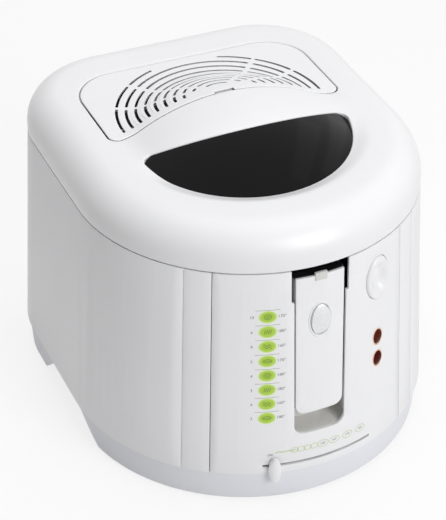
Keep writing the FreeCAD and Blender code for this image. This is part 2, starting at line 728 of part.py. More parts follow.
def handle_grip():
    """Curved channel that lies flush in the recess, with a pivot ear inside each edge."""
    half = HANDLE_WIDTH / 2
    outside = wall_solid(-HANDLE_SINK, BASE_TOP, WALL_TOP)
    behind = wall_solid(-HANDLE_SINK - HANDLE_THICKNESS, BASE_TOP, WALL_TOP)
    under_skin = wall_solid(-HANDLE_SINK - HANDLE_SKIN, BASE_TOP, WALL_TOP)
    outline = rounded_plate(half, HANDLE_BOTTOM, HANDLE_TOP, HANDLE_CORNER, ARC_Y - REACH, ARC_Y)
    shape = outline.common(outside).cut(behind)
    hollow = rounded_plate(
        half - HANDLE_SKIN, HANDLE_BOTTOM + HANDLE_SKIN, HANDLE_TOP - HANDLE_SKIN,
        HANDLE_CORNER - HANDLE_SKIN, ARC_Y - REACH, ARC_Y,
    )
    shape = shape.cut(hollow.common(under_skin))
    pivot_y = ARC_Y - PIVOT_RADIAL
    ears = []
    for ear in mirrored_box(
        half - PIVOT_EAR_WIDTH, half, ARC_Y - handle_face_radius(PIVOT_HEIGHT) + HANDLE_SKIN / 2, pivot_y,
        PIVOT_HEIGHT - PIVOT_EAR_RADIUS, PIVOT_HEIGHT + PIVOT_EAR_RADIUS,
    ):
        ears.append(ear.common(outside))
    ears.append(crosswise(PIVOT_EAR_RADIUS, half - PIVOT_EAR_WIDTH, half, pivot_y, PIVOT_HEIGHT))
    ears.append(crosswise(PIVOT_EAR_RADIUS, -half, -half + PIVOT_EAR_WIDTH, pivot_y, PIVOT_HEIGHT))
    shape = joined([shape] + ears)
    shape = shape.cut(crosswise(PIVOT_PIN_RADIUS, -REACH, REACH, pivot_y, PIVOT_HEIGHT))
    hole = oval(
        GRIP_BUTTON_WIDE + 2 * BUTTON_GAP, GRIP_BUTTON_TALL + 2 * BUTTON_GAP, REACH, REACH, GRIP_BUTTON_HEIGHT
    )
    shape = shape.cut(hole)
    tab_top = HANDLE_TOP + TOP_TAB_ABOVE
    tab_face = handle_face_radius(tab_top)
    tab = box(
        -TOP_TAB_WIDTH / 2, TOP_TAB_WIDTH / 2,
        ARC_Y - tab_face - TOP_TAB_PROUD, ARC_Y - tab_face + HANDLE_SKIN / 2,
        tab_top - TOP_TAB_HEIGHT, tab_top,
    )
    return joined([shape, tab])


def handle_pins():
    """A pivot pin in each ear, running in the basket's fork."""
    outer = HANDLE_WIDTH / 2 + FORK_SIDE_ROOM + FORK_THICK
    inner = HANDLE_WIDTH / 2 - PIVOT_EAR_WIDTH
    y = ARC_Y - PIVOT_RADIAL
    return Part.makeCompound([
        crosswise(PIVOT_PIN_RADIUS, inner, outer, y, PIVOT_HEIGHT),
        crosswise(PIVOT_PIN_RADIUS, -outer, -inner, y, PIVOT_HEIGHT),
    ])


def handle_button():
    face = handle_face_radius(GRIP_BUTTON_HEIGHT)
    outer = face + GRIP_BUTTON_PROUD
    depth = GRIP_BUTTON_DEPTH + GRIP_BUTTON_PROUD
    plug = oval(GRIP_BUTTON_WIDE, GRIP_BUTTON_TALL, outer, depth, GRIP_BUTTON_HEIGHT)
    plug = plug.common(front_ball(GRIP_BUTTON_DOME, ARC_Y - outer + GRIP_BUTTON_DOME, GRIP_BUTTON_HEIGHT))
    skin_back = handle_face_radius(GRIP_BUTTON_HEIGHT + GRIP_BUTTON_TALL / 2) - HANDLE_SKIN
    sag = (GRIP_BUTTON_WIDE / 2 + GRIP_BUTTON_FLANGE) ** 2 / (2 * skin_back)
    flange_outer = skin_back - sag - FLANGE_ROOM
    flange = oval(
        GRIP_BUTTON_WIDE + 2 * GRIP_BUTTON_FLANGE, GRIP_BUTTON_TALL + 2 * GRIP_BUTTON_FLANGE,
        flange_outer, GRIP_BUTTON_FLANGE_THICK, GRIP_BUTTON_HEIGHT,
    )
    return joined([plug, flange])


def lid_button():
    outer = wall_radius(RELEASE_HEIGHT) + RELEASE_PROUD
    plug = oval(RELEASE_WIDE, RELEASE_TALL, outer, RELEASE_DEPTH, RELEASE_HEIGHT)
    dish = ball(RELEASE_DISH, ARC_Y - outer - RELEASE_DISH + RELEASE_DISH_DEPTH, RELEASE_HEIGHT)
    plug = plug.cut(dish)
    skin_back = wall_radius(RELEASE_HEIGHT + RELEASE_TALL / 2 + RELEASE_FLANGE) - WALL_THICKNESS
    sag = (RELEASE_WIDE / 2 + RELEASE_FLANGE) ** 2 / (2 * skin_back)
    flange_outer = skin_back - sag - FLANGE_ROOM
    flange = oval(
        RELEASE_WIDE + 2 * RELEASE_FLANGE, RELEASE_TALL + 2 * RELEASE_FLANGE,
        flange_outer, RELEASE_FLANGE_THICK, RELEASE_HEIGHT,
    )
    return turned(joined([plug, flange]), RELEASE_ANGLE)


def latch_slide():
    """Bar behind the button that goes in under the deck and up to the lid's catch."""
    half = LATCH_WIDTH / 2
    nose_end = CATCH_OUTER - CATCH_THICK - CATCH_LIP - CATCH_GAP
    inner = ARC_Y - LATCH_INNER
    low = RELEASE_HEIGHT - LATCH_BAR / 2
    pieces = [
        box(-half, half, ARC_Y - release_back(), inner, low, low + LATCH_BAR),
        box(-half, half, inner - LATCH_BAR, inner, low, LATCH_TOP),
        box(-half, half, ARC_Y - nose_end, inner, CATCH_BOTTOM + CATCH_LIP_HEIGHT + CATCH_GAP, LATCH_TOP),
    ]
    return turned(joined(pieces), RELEASE_ANGLE)


def slider_knob():
    """Pointed oval knob standing just clear of the wall and the plinth's lip."""
    back = wall_radius(BASE_TOP) + KNOB_CLEAR
    outer = back + KNOB_PROUD
    height = SLIDER_HEIGHT - KNOB_BELOW
    plug = oval(KNOB_WIDE, KNOB_TALL, outer, KNOB_PROUD, height)
    stem = box(
        -LEVER_WIDTH / 2, LEVER_WIDTH / 2, ARC_Y - back - LAP, ARC_Y - wall_radius(SLIDER_HEIGHT) + LAP,
        SLIDER_HEIGHT - LEVER_THICK / 2, SLIDER_HEIGHT + LEVER_THICK / 2,
    )
    ridge = Part.makeCylinder(
        KNOB_WIDE, KNOB_TALL, V(0, ARC_Y - outer + KNOB_WIDE, height - KNOB_TALL / 2), UP
    )
    return turned(joined([plug.common(ridge), stem]), SLIDER_REST_ANGLE)


def thermostat_lever():
    """Arm from the thermostat's shaft to the knob."""
    low = SLIDER_HEIGHT - LEVER_THICK / 2
    hub = upright(LEVER_HUB_RADIUS, 0, ARC_Y, low, low + LEVER_HUB_HEIGHT)
    arm = box(
        -LEVER_WIDTH / 2, LEVER_WIDTH / 2, ARC_Y - wall_radius(SLIDER_HEIGHT) + LAP, ARC_Y,
        low, low + LEVER_THICK,
    )
    shape = joined([hub, arm]).cut(upright(SHAFT_RADIUS + PIN_FIT, 0, ARC_Y, 0, REACH))
    return turned(shape, SLIDER_REST_ANGLE)


def basket():
    """Outer form of the wire basket, as a thin open cup."""
    tall = BASKET_TOP - BASKET_BOTTOM
    outside = Part.makeCone(BASKET_FOOT_RADIUS, BASKET_RADIUS, tall, V(0, ARC_Y, BASKET_BOTTOM))
    inside = Part.makeCone(
        BASKET_FOOT_RADIUS - BASKET_SHEET, BASKET_RADIUS - BASKET_SHEET,
        tall, V(0, ARC_Y, BASKET_BOTTOM + BASKET_SHEET),
    )
    return outside.cut(inside)


def basket_rim():
    height = BASKET_TOP + BASKET_RIM_WIRE
    return Part.makeTorus(BASKET_RADIUS - BASKET_SHEET / 2, BASKET_RIM_WIRE, V(0, ARC_Y, height), UP)


def basket_fork():
    """Two straps from the basket's rim over the pot's edge to the handle's pivots, tied by a bar."""
    inner_x = HANDLE_WIDTH / 2 + FORK_SIDE_ROOM
    outer_x = inner_x + FORK_THICK
    pivot_y = ARC_Y - PIVOT_RADIAL
    front = pivot_y - FORK_WIDTH / 2
    rim_height = BASKET_TOP + BASKET_RIM_WIRE
    rim_y = ARC_Y - math.sqrt((BASKET_RADIUS - BASKET_SHEET / 2) ** 2 - inner_x ** 2)
    back = rim_y + FORK_WIDTH
    under = DECK_TOP + POT_WALL + FORK_SEAT_GAP
    top = under + FORK_WIDTH
    pieces = []
    pieces += mirrored_box(inner_x, outer_x, front, front + FORK_WIDTH, PIVOT_HEIGHT, top)
    pieces += mirrored_box(inner_x, outer_x, front, back, under, top)
    pieces += mirrored_box(inner_x, outer_x, rim_y, back, rim_height, top)
    pieces.append(box(-outer_x, outer_x, back - FORK_WIDTH / 2, back, under, top))
    pieces.append(crosswise(FORK_EYE_RADIUS, inner_x, outer_x, pivot_y, PIVOT_HEIGHT))
    pieces.append(crosswise(FORK_EYE_RADIUS, -outer_x, -inner_x, pivot_y, PIVOT_HEIGHT))
    shape = joined(pieces).cut(crosswise(PIVOT_PIN_RADIUS + PIN_FIT, -REACH, REACH, pivot_y, PIVOT_HEIGHT))
    return shape.cut(basket_rim())


def mound(shrink):
    """The low dome on the lid, blended into the flat top; shrink gives its inner face."""
    plane = LID_TOP - shrink
    sphere = MOUND_RADIUS - shrink
    blend = MOUND_BLEND + shrink
    blend_height = plane + blend
    blend_radius = math.sqrt((sphere + blend) ** 2 - (blend_height - MOUND_CENTRE_Z) ** 2)
    share = sphere / (sphere + blend)
    meet = rz(blend_radius * share, MOUND_CENTRE_Z + (blend_height - MOUND_CENTRE_Z) * share)
    half_turn = math.asin(meet.x / sphere) / 2
    crown_mid = rz(sphere * math.sin(half_turn), MOUND_CENTRE_Z + sphere * math.cos(half_turn))
    blend_turn = math.asin((blend_radius - meet.x) / blend) / 2
    blend_mid = rz(blend_radius - blend * math.sin(blend_turn), blend_height - blend * math.cos(blend_turn))
    crown = rz(0, MOUND_CENTRE_Z + sphere)
    edge = rz(blend_radius, plane)
    foot = plane - LID_WALL
    return spun([
        Part.Arc(crown, crown_mid, meet).toShape(),
        Part.Arc(meet, blend_mid, edge).toShape(),
        line(edge, rz(blend_radius, foot)),
        line(rz(blend_radius, foot), rz(0, foot)),
        line(rz(0, foot), crown),
    ], MOUND_Y)


def lid_block(shrink):
    """The lid's outside as a filled block; shrink moves its faces in."""
    top = LID_TOP - shrink
    pillow = plan_prism(-shrink, SEAM_HEIGHT, top)
    rim = [edge for edge in pillow.Edges if abs(edge.BoundBox.ZMin - top) < 0.01]
    pillow = pillow.makeFillet(LID_EDGE_RADIUS - shrink, rim)
    return pillow.fuse(mound(shrink))


def upright_edges(block, y):
    """The block's upright edges that lie at one depth."""
    found = []
    for edge in block.Edges:
        bounds = edge.BoundBox
        if bounds.ZLength > LAP and abs(bounds.YMin - y) < 0.01 and abs(bounds.YMax - y) < 0.01:
            found.append(edge)
    return found


def cover_prism(grow):
    """Upright block over the filter cover's outline."""
    half = COVER_HALF_WIDTH + grow
    rear = ARC_Y + COVER_REAR + grow
    front = ARC_Y + COVER_FRONT - grow
    low = TRAY_FLOOR_HEIGHT
    corners = [V(half, front, low), V(half, rear, low), V(-half, rear, low), V(-half, front, low)]
    edges = [line(corners[0], corners[1]), line(corners[1], corners[2]), line(corners[2], corners[3])]
    edges.append(Part.Arc(corners[3], V(0, front + COVER_BOW, low), corners[0]).toShape())
    block = Part.Face(Part.Wire(edges)).extrude(UP * REACH)
    block = block.makeFillet(COVER_REAR_CORNER + grow, upright_edges(block, rear))
    return block.makeFillet(max(COVER_FRONT_CORNER + grow, SHARPEST_CORNER), upright_edges(block, front))


def half_moon(radius, shrink, corner):
    """Upright half-moon block, its brow bowed forward and its tips rounded."""
    round_block = upright(radius, 0, WINDOW_Y, SEAM_HEIGHT, REACH)
    block = round_block.cut(upright(BROW_RADIUS + shrink, 0, BROW_CENTRE_Y, 0, 2 * REACH))
    tips = [edge for edge in block.Edges if edge.BoundBox.ZLength > LAP and edge.BoundBox.XLength < 0.01]
    return block.makeFillet(corner, tips)


def window_prism(shrink):
    return half_moon(WINDOW_RADIUS - shrink, shrink, BROW_CORNER)


def glass_ball(shrink):
    return ball(MOUND_RADIUS - GLASS_SINK - shrink, MOUND_Y, MOUND_CENTRE_Z)


def lid_shell():
    block = lid_block(0)
    shape = block.cut(lid_block(LID_WALL))
    front_half = box(-REACH, REACH, -REACH, WINDOW_Y + SEAT_WIDTH, 0, 2 * REACH)
    seat_low = LID_TOP - LID_WALL - SEAT_WALL
    seat = ring(WINDOW_RADIUS + DISH_WIDTH + LID_WALL, WINDOW_RADIUS - SEAT_WIDTH, WINDOW_Y, seat_low, REACH)
    shape = shape.fuse(seat.common(front_half).common(block))
    glass_edge = MOUND_CENTRE_Z + math.sqrt(
        (MOUND_RADIUS - GLASS_SINK) ** 2 - (WINDOW_RADIUS + MOUND_BACK - WINDOW_BACK) ** 2
    )
    dish = spun([
        line(rz(0, glass_edge), rz(WINDOW_RADIUS, glass_edge)),
        line(rz(WINDOW_RADIUS, glass_edge), rz(WINDOW_RADIUS + DISH_WIDTH, LID_TOP)),
        line(rz(WINDOW_RADIUS + DISH_WIDTH, LID_TOP), rz(WINDOW_RADIUS + DISH_WIDTH, REACH)),
        line(rz(WINDOW_RADIUS + DISH_WIDTH, REACH), rz(0, REACH)),
        line(rz(0, REACH), rz(0, glass_edge)),
    ], WINDOW_Y)
    dish = dish.common(half_moon(WINDOW_RADIUS + DISH_WIDTH, 0, BROW_CORNER + DISH_WIDTH))
    shape = shape.cut(dish.cut(glass_ball(0)))
    shape = shape.cut(window_prism(0).cut(glass_ball(GLASS_THICK)))
    shape = shape.cut(window_prism(SEAT_WIDTH))
    return shape.cut(cover_prism(COVER_GAP)).removeSplitter()


def window_glass():
    return window_prism(GLASS_FIT).common(glass_ball(0)).cut(glass_ball(GLASS_THICK))


def slot_cutters():
    """Arc slots about the finger notch, kept inside the cover's edge and broken by bridges."""
    inside = cover_prism(-SLOT_MARGIN)
    centre_y = ARC_Y + SLOT_CENTRE
    arcs = []
    for number in range(SLOT_COUNT):
        radius = SLOT_FIRST_RADIUS + number * SLOT_PITCH
        inner = radius - SLOT_WIDTH / 2
        arcs.append(ring(inner + SLOT_WIDTH, inner, centre_y, TRAY_FLOOR_HEIGHT, REACH))
    cutters = Part.makeCompound(arcs).common(inside)
    for angle in BRIDGE_ANGLES:
        bridge = box(0, REACH, centre_y - BRIDGE_WIDTH / 2, centre_y + BRIDGE_WIDTH / 2, 0, 2 * REACH)
        bridge.rotate(V(0, centre_y, 0), UP, angle)
        cutters = cutters.cut(bridge)
    return cutters


def filter_cover():
    skin = lid_block(0).cut(lid_block(LID_WALL)).common(cover_prism(0))
    notch_y = ARC_Y + COVER_FRONT + COVER_BOW
    notch = box(
        -NOTCH_HALF_WIDTH, NOTCH_HALF_WIDTH, notch_y - NOTCH_DEPTH, notch_y + NOTCH_DEPTH,
        TRAY_FLOOR_HEIGHT, REACH,
    )
    return skin.cut(notch).cut(slot_cutters())


def filter_tray():
    """Open box under the cover, hung by its lip from the lid's inner face."""
    front = ARC_Y + TRAY_FRONT
    rear = ARC_Y + TRAY_REAR
    half = TRAY_HALF_WIDTH
    top = LID_TOP - LID_WALL - FLANGE_ROOM
    lip_half = half + TRAY_LIP
    shape = box(-half, half, front, rear, TRAY_FLOOR_HEIGHT, top)
    lip = box(-lip_half, lip_half, rear - COVER_REAR_CORNER, rear + TRAY_LIP, top - TRAY_WALL, top)
    shape = joined([shape, lip])
    shape = shape.cut(box(
        -half + TRAY_WALL, half - TRAY_WALL, front + TRAY_WALL, rear - TRAY_WALL,
        TRAY_FLOOR_HEIGHT + TRAY_WALL, REACH,
    ))
    count = int((2 * half - 2 * TRAY_VENT_PITCH) / TRAY_VENT_PITCH)
    vent_front = front + 2 * TRAY_VENT_WIDTH
    vent_rear = rear - 2 * TRAY_VENT_WIDTH
    for number in range(count):
        x = (number - count / 2 + 0.5) * TRAY_VENT_PITCH - TRAY_VENT_WIDTH / 2
        shape = shape.cut(box(x, x + TRAY_VENT_WIDTH, vent_front, vent_rear, 0, REACH))
    return shape


def filter_pad(low, thick):
    half = TRAY_HALF_WIDTH - TRAY_WALL - FILTER_ROOM
    front = ARC_Y + TRAY_FRONT + TRAY_WALL + FILTER_ROOM
    rear = ARC_Y + TRAY_REAR - TRAY_WALL - FILTER_ROOM
    return box(-half, half, front, rear, low, low + thick)


def grease_filter():
    return filter_pad(TRAY_FLOOR_HEIGHT + TRAY_WALL, GREASE_THICK)


def charcoal_filter():
    return filter_pad(TRAY_FLOOR_HEIGHT + TRAY_WALL + GREASE_THICK, CHARCOAL_THICK)


def front_notch():
    half = LINER_NOTCH / 2
    return box(-half, half, ARC_Y - REACH, ARC_Y - LINER_NOTCH_BACK, 0, REACH)


def lid_liner():
    """Inner pan of the lid with a ring that reaches down to the pot's edge."""
    pan = plan_prism(-LID_WALL - LINER_FIT, LINER_HEIGHT, LINER_HEIGHT + LINER_THICK)
    seal_top = DECK_TOP + POT_WALL + SEAL_CLEAR + SEAL_HEIGHT
    wall = upright(LINER_RING_RADIUS + LINER_RING_WALL, 0, ARC_Y, seal_top - SEAL_HEIGHT / 2, LINER_HEIGHT)
    ledge = upright(LINER_RING_RADIUS + SEAL_WIDTH, 0, ARC_Y, seal_top, seal_top + LINER_THICK)
    shape = joined([pan, wall, ledge])
    shape = shape.cut(upright(LINER_RING_RADIUS, 0, ARC_Y, 0, LINER_HEIGHT))
    shape = shape.cut(upright(LINER_HOLE, 0, ARC_Y, 0, REACH))
    half = LATCH_WIDTH / 2 + BODY_FIT
    catch_outer = ARC_Y - CATCH_OUTER
    catch_slot = box(-half, half, catch_outer - BODY_FIT, catch_outer + CATCH_THICK + BODY_FIT, 0, REACH)
    return shape.cut(front_notch()).cut(turned(catch_slot, RELEASE_ANGLE))


def lid_seal():
    bottom = DECK_TOP + POT_WALL + SEAL_CLEAR
    inner = LINER_RING_RADIUS + LINER_RING_WALL + BODY_FIT
    shape = ring(LINER_RING_RADIUS + SEAL_WIDTH, inner, ARC_Y, bottom, bottom + SEAL_HEIGHT)
    return shape.cut(front_notch())


def lid_catch():
    """Hook that hangs from the lid's inner face over the latch."""
    half = LATCH_WIDTH / 2
    stem = box(-half, half, ARC_Y - CATCH_OUTER, ARC_Y - CATCH_OUTER + CATCH_THICK, CATCH_BOTTOM, LID_TOP)
    inner = ARC_Y - CATCH_OUTER + CATCH_THICK
    lip = box(-half, half, inner - LAP, inner + CATCH_LIP, CATCH_BOTTOM, CATCH_BOTTOM + CATCH_LIP_HEIGHT)
    inside = turned(joined([stem, lip]), RELEASE_ANGLE)
    under_lid = lid_block(LID_WALL + BODY_FIT)
    below = box(-REACH, REACH, -REACH, REACH, 0, SEAM_HEIGHT + LAP)
    return inside.common(joined([under_lid, below]))


def hinge_axis():
    return BACK_Y + HINGE_BEHIND, SEAM_HEIGHT - HINGE_BELOW_SEAM


def hinge_brackets():
    """Knuckles fixed to the rear of the wall, inboard of the lid's."""
    y, z = hinge_axis()
    body = wall_solid(BODY_FIT, BASE_TOP, WALL_TOP)
    pieces = []
    for side in (-1, 1):
        x0 = min(side * (HINGE_X - KNUCKLE_WIDTH), side * HINGE_X)
        x1 = x0 + KNUCKLE_WIDTH
        barrel = crosswise(HINGE_BARREL, x0, x1, y, z)
        plate = box(x0, x1, BACK_Y - HINGE_BARREL, y + HINGE_BARREL / 2, z - BRACKET_HEIGHT, z)
        plate = plate.cut(body).cut(box(x0, x1, 0, BACK_Y + BODY_FIT, WALL_TOP - LAP, REACH))
        pieces.append(joined([barrel, plate]).cut(crosswise(HINGE_PIN_RADIUS, -REACH, REACH, y, z)))
    return Part.makeCompound(pieces)


def lid_knuckles():
    y, z = hinge_axis()
    block = plan_prism(BODY_FIT, SEAM_HEIGHT - LAP, LID_TOP)
    pieces = []
    for side in (-1, 1):
        x0 = min(side * (HINGE_X + KNUCKLE_GAP), side * (HINGE_X + KNUCKLE_GAP + KNUCKLE_WIDTH))
        barrel = crosswise(HINGE_BARREL, x0, x0 + KNUCKLE_WIDTH, y, z)
        arm = box(x0, x0 + KNUCKLE_WIDTH, BACK_Y - LAP, y, z, SEAM_HEIGHT + ARM_HEIGHT)
        arm = arm.cut(block)
        pieces.append(joined([barrel, arm]).cut(crosswise(HINGE_PIN_RADIUS + PIN_FIT, -REACH, REACH, y, z)))
    return Part.makeCompound(pieces)


def hinge_pins():
    y, z = hinge_axis()
    inner = HINGE_X - KNUCKLE_WIDTH
    outer = HINGE_X + KNUCKLE_GAP + KNUCKLE_WIDTH
    return Part.makeCompound([
        crosswise(HINGE_PIN_RADIUS, inner, outer, y, z),
        crosswise(HINGE_PIN_RADIUS, -outer, -inner, y, z),
    ])


MAKERS = {
    "outer_wall": outer_wall,
    "front_panel": front_panel,
    "handle_well": handle_well,
    "base_tray": base_tray,
    "rubber_feet": rubber_feet,
    "base_screws": base_screws,
    "cord_gland": cord_gland,
    "deck": deck,
    "oil_pot": oil_pot,
    "heating_element": heating_element,
    "thermostat": thermostat,
    "thermal_cutout": thermal_cutout,
    "heat_shield": heat_shield,
    "terminal_block": terminal_block,
    "lamp_carrier": lamp_carrier,
    "handle_grip": handle_grip,
    "handle_pins": handle_pins,
    "handle_button": handle_button,
    "lid_button": lid_button,
    "latch_slide": latch_slide,
    "slider_knob": slider_knob,
    "thermostat_lever": thermostat_lever,
    "basket": basket,
    "basket_rim": basket_rim,
    "basket_fork": basket_fork,
    "lid_shell": lid_shell,
    "window_glass": window_glass,
    "filter_cover": filter_cover,
    "filter_tray": filter_tray,
    "grease_filter": grease_filter,
    "charcoal_filter": charcoal_filter,
    "lid_liner": lid_liner,
    "lid_seal": lid_seal,
    "lid_catch": lid_catch,
    "hinge_brackets": hinge_brackets,
    "lid_knuckles": lid_knuckles,
    "hinge_pins": hinge_pins,
}

os.makedirs("parts", exist_ok=True)
for node, maker in MAKERS.items():
    maker().exportStep("parts/" + node + ".step")
for node, height in LAMP_HEIGHTS.items():
    lamp_lens(height).exportStep("parts/" + node + ".step")
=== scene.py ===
import json
from math import asin, atan2, cos, degrees, hypot, pi, radians, sin, sqrt

import bmesh
import bpy
from mathutils import Matrix, Vector
from mathutils.geometry import delaunay_2d_cdt


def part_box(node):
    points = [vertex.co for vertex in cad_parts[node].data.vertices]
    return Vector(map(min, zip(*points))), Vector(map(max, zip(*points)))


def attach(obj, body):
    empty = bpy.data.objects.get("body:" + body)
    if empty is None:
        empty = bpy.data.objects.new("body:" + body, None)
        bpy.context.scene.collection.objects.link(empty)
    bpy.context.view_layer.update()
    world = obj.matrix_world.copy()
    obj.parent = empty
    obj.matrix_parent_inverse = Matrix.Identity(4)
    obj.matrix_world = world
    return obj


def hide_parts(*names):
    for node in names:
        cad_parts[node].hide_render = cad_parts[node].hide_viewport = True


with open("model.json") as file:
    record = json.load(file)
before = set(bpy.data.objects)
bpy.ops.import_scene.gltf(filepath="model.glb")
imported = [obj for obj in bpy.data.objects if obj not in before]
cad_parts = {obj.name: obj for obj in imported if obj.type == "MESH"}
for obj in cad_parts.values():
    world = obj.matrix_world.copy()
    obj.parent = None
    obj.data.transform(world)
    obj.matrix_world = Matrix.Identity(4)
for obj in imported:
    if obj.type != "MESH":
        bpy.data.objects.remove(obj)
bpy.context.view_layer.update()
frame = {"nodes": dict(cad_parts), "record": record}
NODES = frame["nodes"]
BODY_OF = {node: body for body, nodes in frame["record"]["behaviour"]["bodies"].items() for node in nodes}
SLOT_OF = {entry["node"]: entry["material_slot"] for entry in frame["record"]["subparts"]}
MM = 0.001

# Outline of the body in plan, with its heights read from the solids
lid_low, lid_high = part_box("lid_shell")
wall_low, wall_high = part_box("outer_wall")
HALF_WIDTH = lid_high.x
BACK_Y = lid_high.y
ARC_Y = lid_low.y + HALF_WIDTH
SEAM_Z = lid_low.z
BASE_TOP = wall_low.z
FLARE = wall_high.x - HALF_WIDTH
REAR_CORNER = 72.0 * MM

# Lid
LID_TOP = SEAM_Z + 32.0 * MM
LID_ROLL = 26.0 * MM
LID_WALL = 3.0 * MM
LID_FOOT_EASE = 0.8 * MM
ROLL_STEP_DEGREES = 5
ROLL_SPLIT_DEGREES = 20
MOUND_Y = ARC_Y + 11.7 * MM
MOUND_RADIUS = 171.2 * MM
MOUND_CENTRE_Z = lid_high.z - MOUND_RADIUS
MOUND_BLEND = 40.0 * MM
WINDOW_Y = ARC_Y + 7.3 * MM
WINDOW_RADIUS = 83.8 * MM
WINDOW_EASE = 1.2 * MM
WINDOW_WALL = 3.0 * MM
WINDOW_RINGS = [out * MM for out in (2.2, 3.4, 4.8, 6.4, 8.2, 10.2, 12.4, 14.8)]
BROW_Y = ARC_Y - 17.3 * MM
BROW_RADIUS = 180.0 * MM
BROW_CORNER = 6.0 * MM
GLASS_SINK = 0.8 * MM
DISH_WIDTH = 14.0 * MM
DISH_START = -0.25
DISH_FADE = (radians(58), radians(88))

# Filter cover
COVER_HALF = 94.0 * MM
COVER_REAR = ARC_Y + 124.6 * MM
COVER_FRONT = ARC_Y + 29.0 * MM
COVER_BOW = 7.0 * MM
COVER_REAR_CORNER = 34.0 * MM
COVER_FRONT_CORNER = 7.0 * MM
SHARPEST_CORNER = 0.5 * MM
COVER_GAP = 1.1 * MM
COVER_THICK = 2.4 * MM
COVER_EASE = 0.5 * MM
COVER_LIP = 0.2 * MM
NOTCH_HALF = 8.0 * MM
NOTCH_DEPTH = 4.0 * MM
TAB_DROP = 1.6 * MM
TAB_FRONT = 1.0 * MM
TAB_BEHIND = 1.5 * MM
TAB_SIDE = 1.2 * MM
TAB_SINK = 0.5 * MM
TAB_THICK = 1.2 * MM
TAB_EASE = 0.3 * MM
SLOT_COUNT = 10
SLOT_FIRST = 15.0 * MM
SLOT_PITCH = 7.3 * MM
SLOT_WIDTH = 2.2 * MM
SLOT_MARGIN = 9.0 * MM
SLOT_EASE = 0.2 * MM
SLOT_CENTRE_Y = ARC_Y + 40.0 * MM
SLOT_SHORTEST = 4.0 * MM
SLOT_STEP = 0.8 * MM
BRIDGE_HALF = 1.0 * MM
BRIDGE_ANGLES = (24.0, 49.0, 131.0, 156.0)

# Marks printed on the front panel
PRINT_PROUD = 0.06 * MM
MARK_ANGLE = -17.0
MARK_TOP_Z = 169.0 * MM
MARK_PITCH = 12.75 * MM
MARK_WIDE = 14.0 * MM
MARK_TALL = 11.0 * MM
MARK_STROKE = 0.45 * MM
MARK_LINE = 0.25 * MM
MARK_LINE_HALF = 9.0 * MM
MARK_LINE_ABOVE = 0.52 * MARK_TALL
OVAL_POINTS = 36
OVAL_RINGS = (0.3, 0.55, 0.75, 0.9, 1.0)
RING_HALVES = (2.6 * MM, 2.2 * MM)
RING_SHARES = (1, 0.4)
BAR_PLACES = [place * MM for place in (-2.4, -1.0, 0.4, 1.8)]
BAR_HALF = 1.8 * MM
BAR_LEAN = 0.9 * MM
WAVE_STEP = 0.5 * MM
WAVE_TALL = 0.9 * MM
WAVE_LIFTS = (-1.0 * MM, 1.0 * MM)
LEAF_HALVES = (3.2 * MM, 1.5 * MM)
RIB_HALF = 2.4 * MM
NUMBER_SIZE = 3.4 * MM
NUMBER_LEFT = -11.5 * MM
NUMBER_RIGHT = 10.5 * MM
MINUTES = ("10", "6", "9", "5", "4", "3", "4", "3")
DEGREES = ("170", "180", "160", "170", "180", "180", "160", "180")
SCALE_Z = 47.0 * MM
SCALE_TEXT = 2.6 * MM
SCALE_STROKE = 0.4 * MM
OFF_ANGLE = -15.9
OFF_DROP = 2.0 * MM
LEAD_ANGLE = -11.2
LEAD_WAVE = 0.25 * MM
LEAD_STROKE = 0.7 * MM
LINK_HALVES = (3.0 * MM, 2.2 * MM)
NUMBER_HALVES = (4.4 * MM, 3.0 * MM)
SCALE_NUMBERS = ((1.0, "150"), (5.0, "160"), (9.7, "170"), (14.6, "190"))
SCALE_LINKS = (-8.3, -6.2, -4.1, -2.0)
LAMP_ANGLE = 22.0
LAMP_EDGE = 0.9 * MM
LAMP_SLENDER = 8.5 / 13.0

# Handle, with the heights and reaches from its face at which its colours and its painted shade start and end
HANDLE_SINK = 1.0 * MM
HANDLE_TOP = 197.0 * MM
# Black painted as shade on the handle's top end, where the lid shades it
SHADE_HEIGHTS = (195.2 * MM, 195.6 * MM)
SHADE_REACHES = (-1.6 * MM, -1.9 * MM)
PALE_HEIGHTS = (192.6 * MM, 192.8 * MM)
PALE_REACHES = (0.4 * MM, 0.5 * MM)
# Heights over which the well turns to black painted shade
WELL_SHADE_HEIGHTS = (150.0 * MM, 156.0 * MM)
BUTTON_Z = 159.0 * MM
BUTTON_HALF_WIDE = 8.2 * MM
BUTTON_HALF_TALL = 13.7 * MM
BUTTON_BEAD = 0.8 * MM
BEAD_RISE = 0.7
BEAD_SINK = 0.05 * MM

# Cap of the lid's release
RELEASE_ANGLE = 22.0
RELEASE_Z = 175.0 * MM
RELEASE_HALF_WIDE = 12.0 * MM
RELEASE_HALF_TALL = 18.0 * MM
RELEASE_RIM = 1.9 * MM
RELEASE_HOLLOW = 4.6 * MM
RELEASE_SKIRT = 6.0 * MM
RELEASE_SLOPE = (0.28, 0.82)
RELEASE_CREST = 0.86

# Wire basket
WIRE = 0.7 * MM
WIRE_SIDES = 6
HOOP_SIDES = 88
SPOKE_COUNT = 44
SIDE_HOOPS = 11
FLOOR_HOOPS = 9
BASKET_TAPER = 6.0 * MM
BASKET_LEAN = 0.6 * MM
BASKET_BEND = 7.0 * MM
BASKET_HUB = 9.0 * MM

# Camera, measured in the photograph's frame of 446 by 520 pixels
FRAME_TALL = 520.0
FOCAL_PIXELS = 1897.5
VIEW_AZIMUTH = radians(-24.71)
VIEW_ELEVATION = radians(35.59)
VIEW_ROLL = radians(0.69)
VIEW_DISTANCE = 1.4766
VIEW_TARGET = Vector((0, ARC_Y, 0.124))
CENTRE_RIGHT_PIXELS = 20.1
CENTRE_DOWN_PIXELS = -1.1
SENSOR = 36.0

# Light and floor
AMBIENT = 0.26
BAND_AIM = (0, -0.06, 0.24)
BAND_POWER = 0.25
FLOOR_SIZE = 14.0
FLOOR_GLOW = 0.8

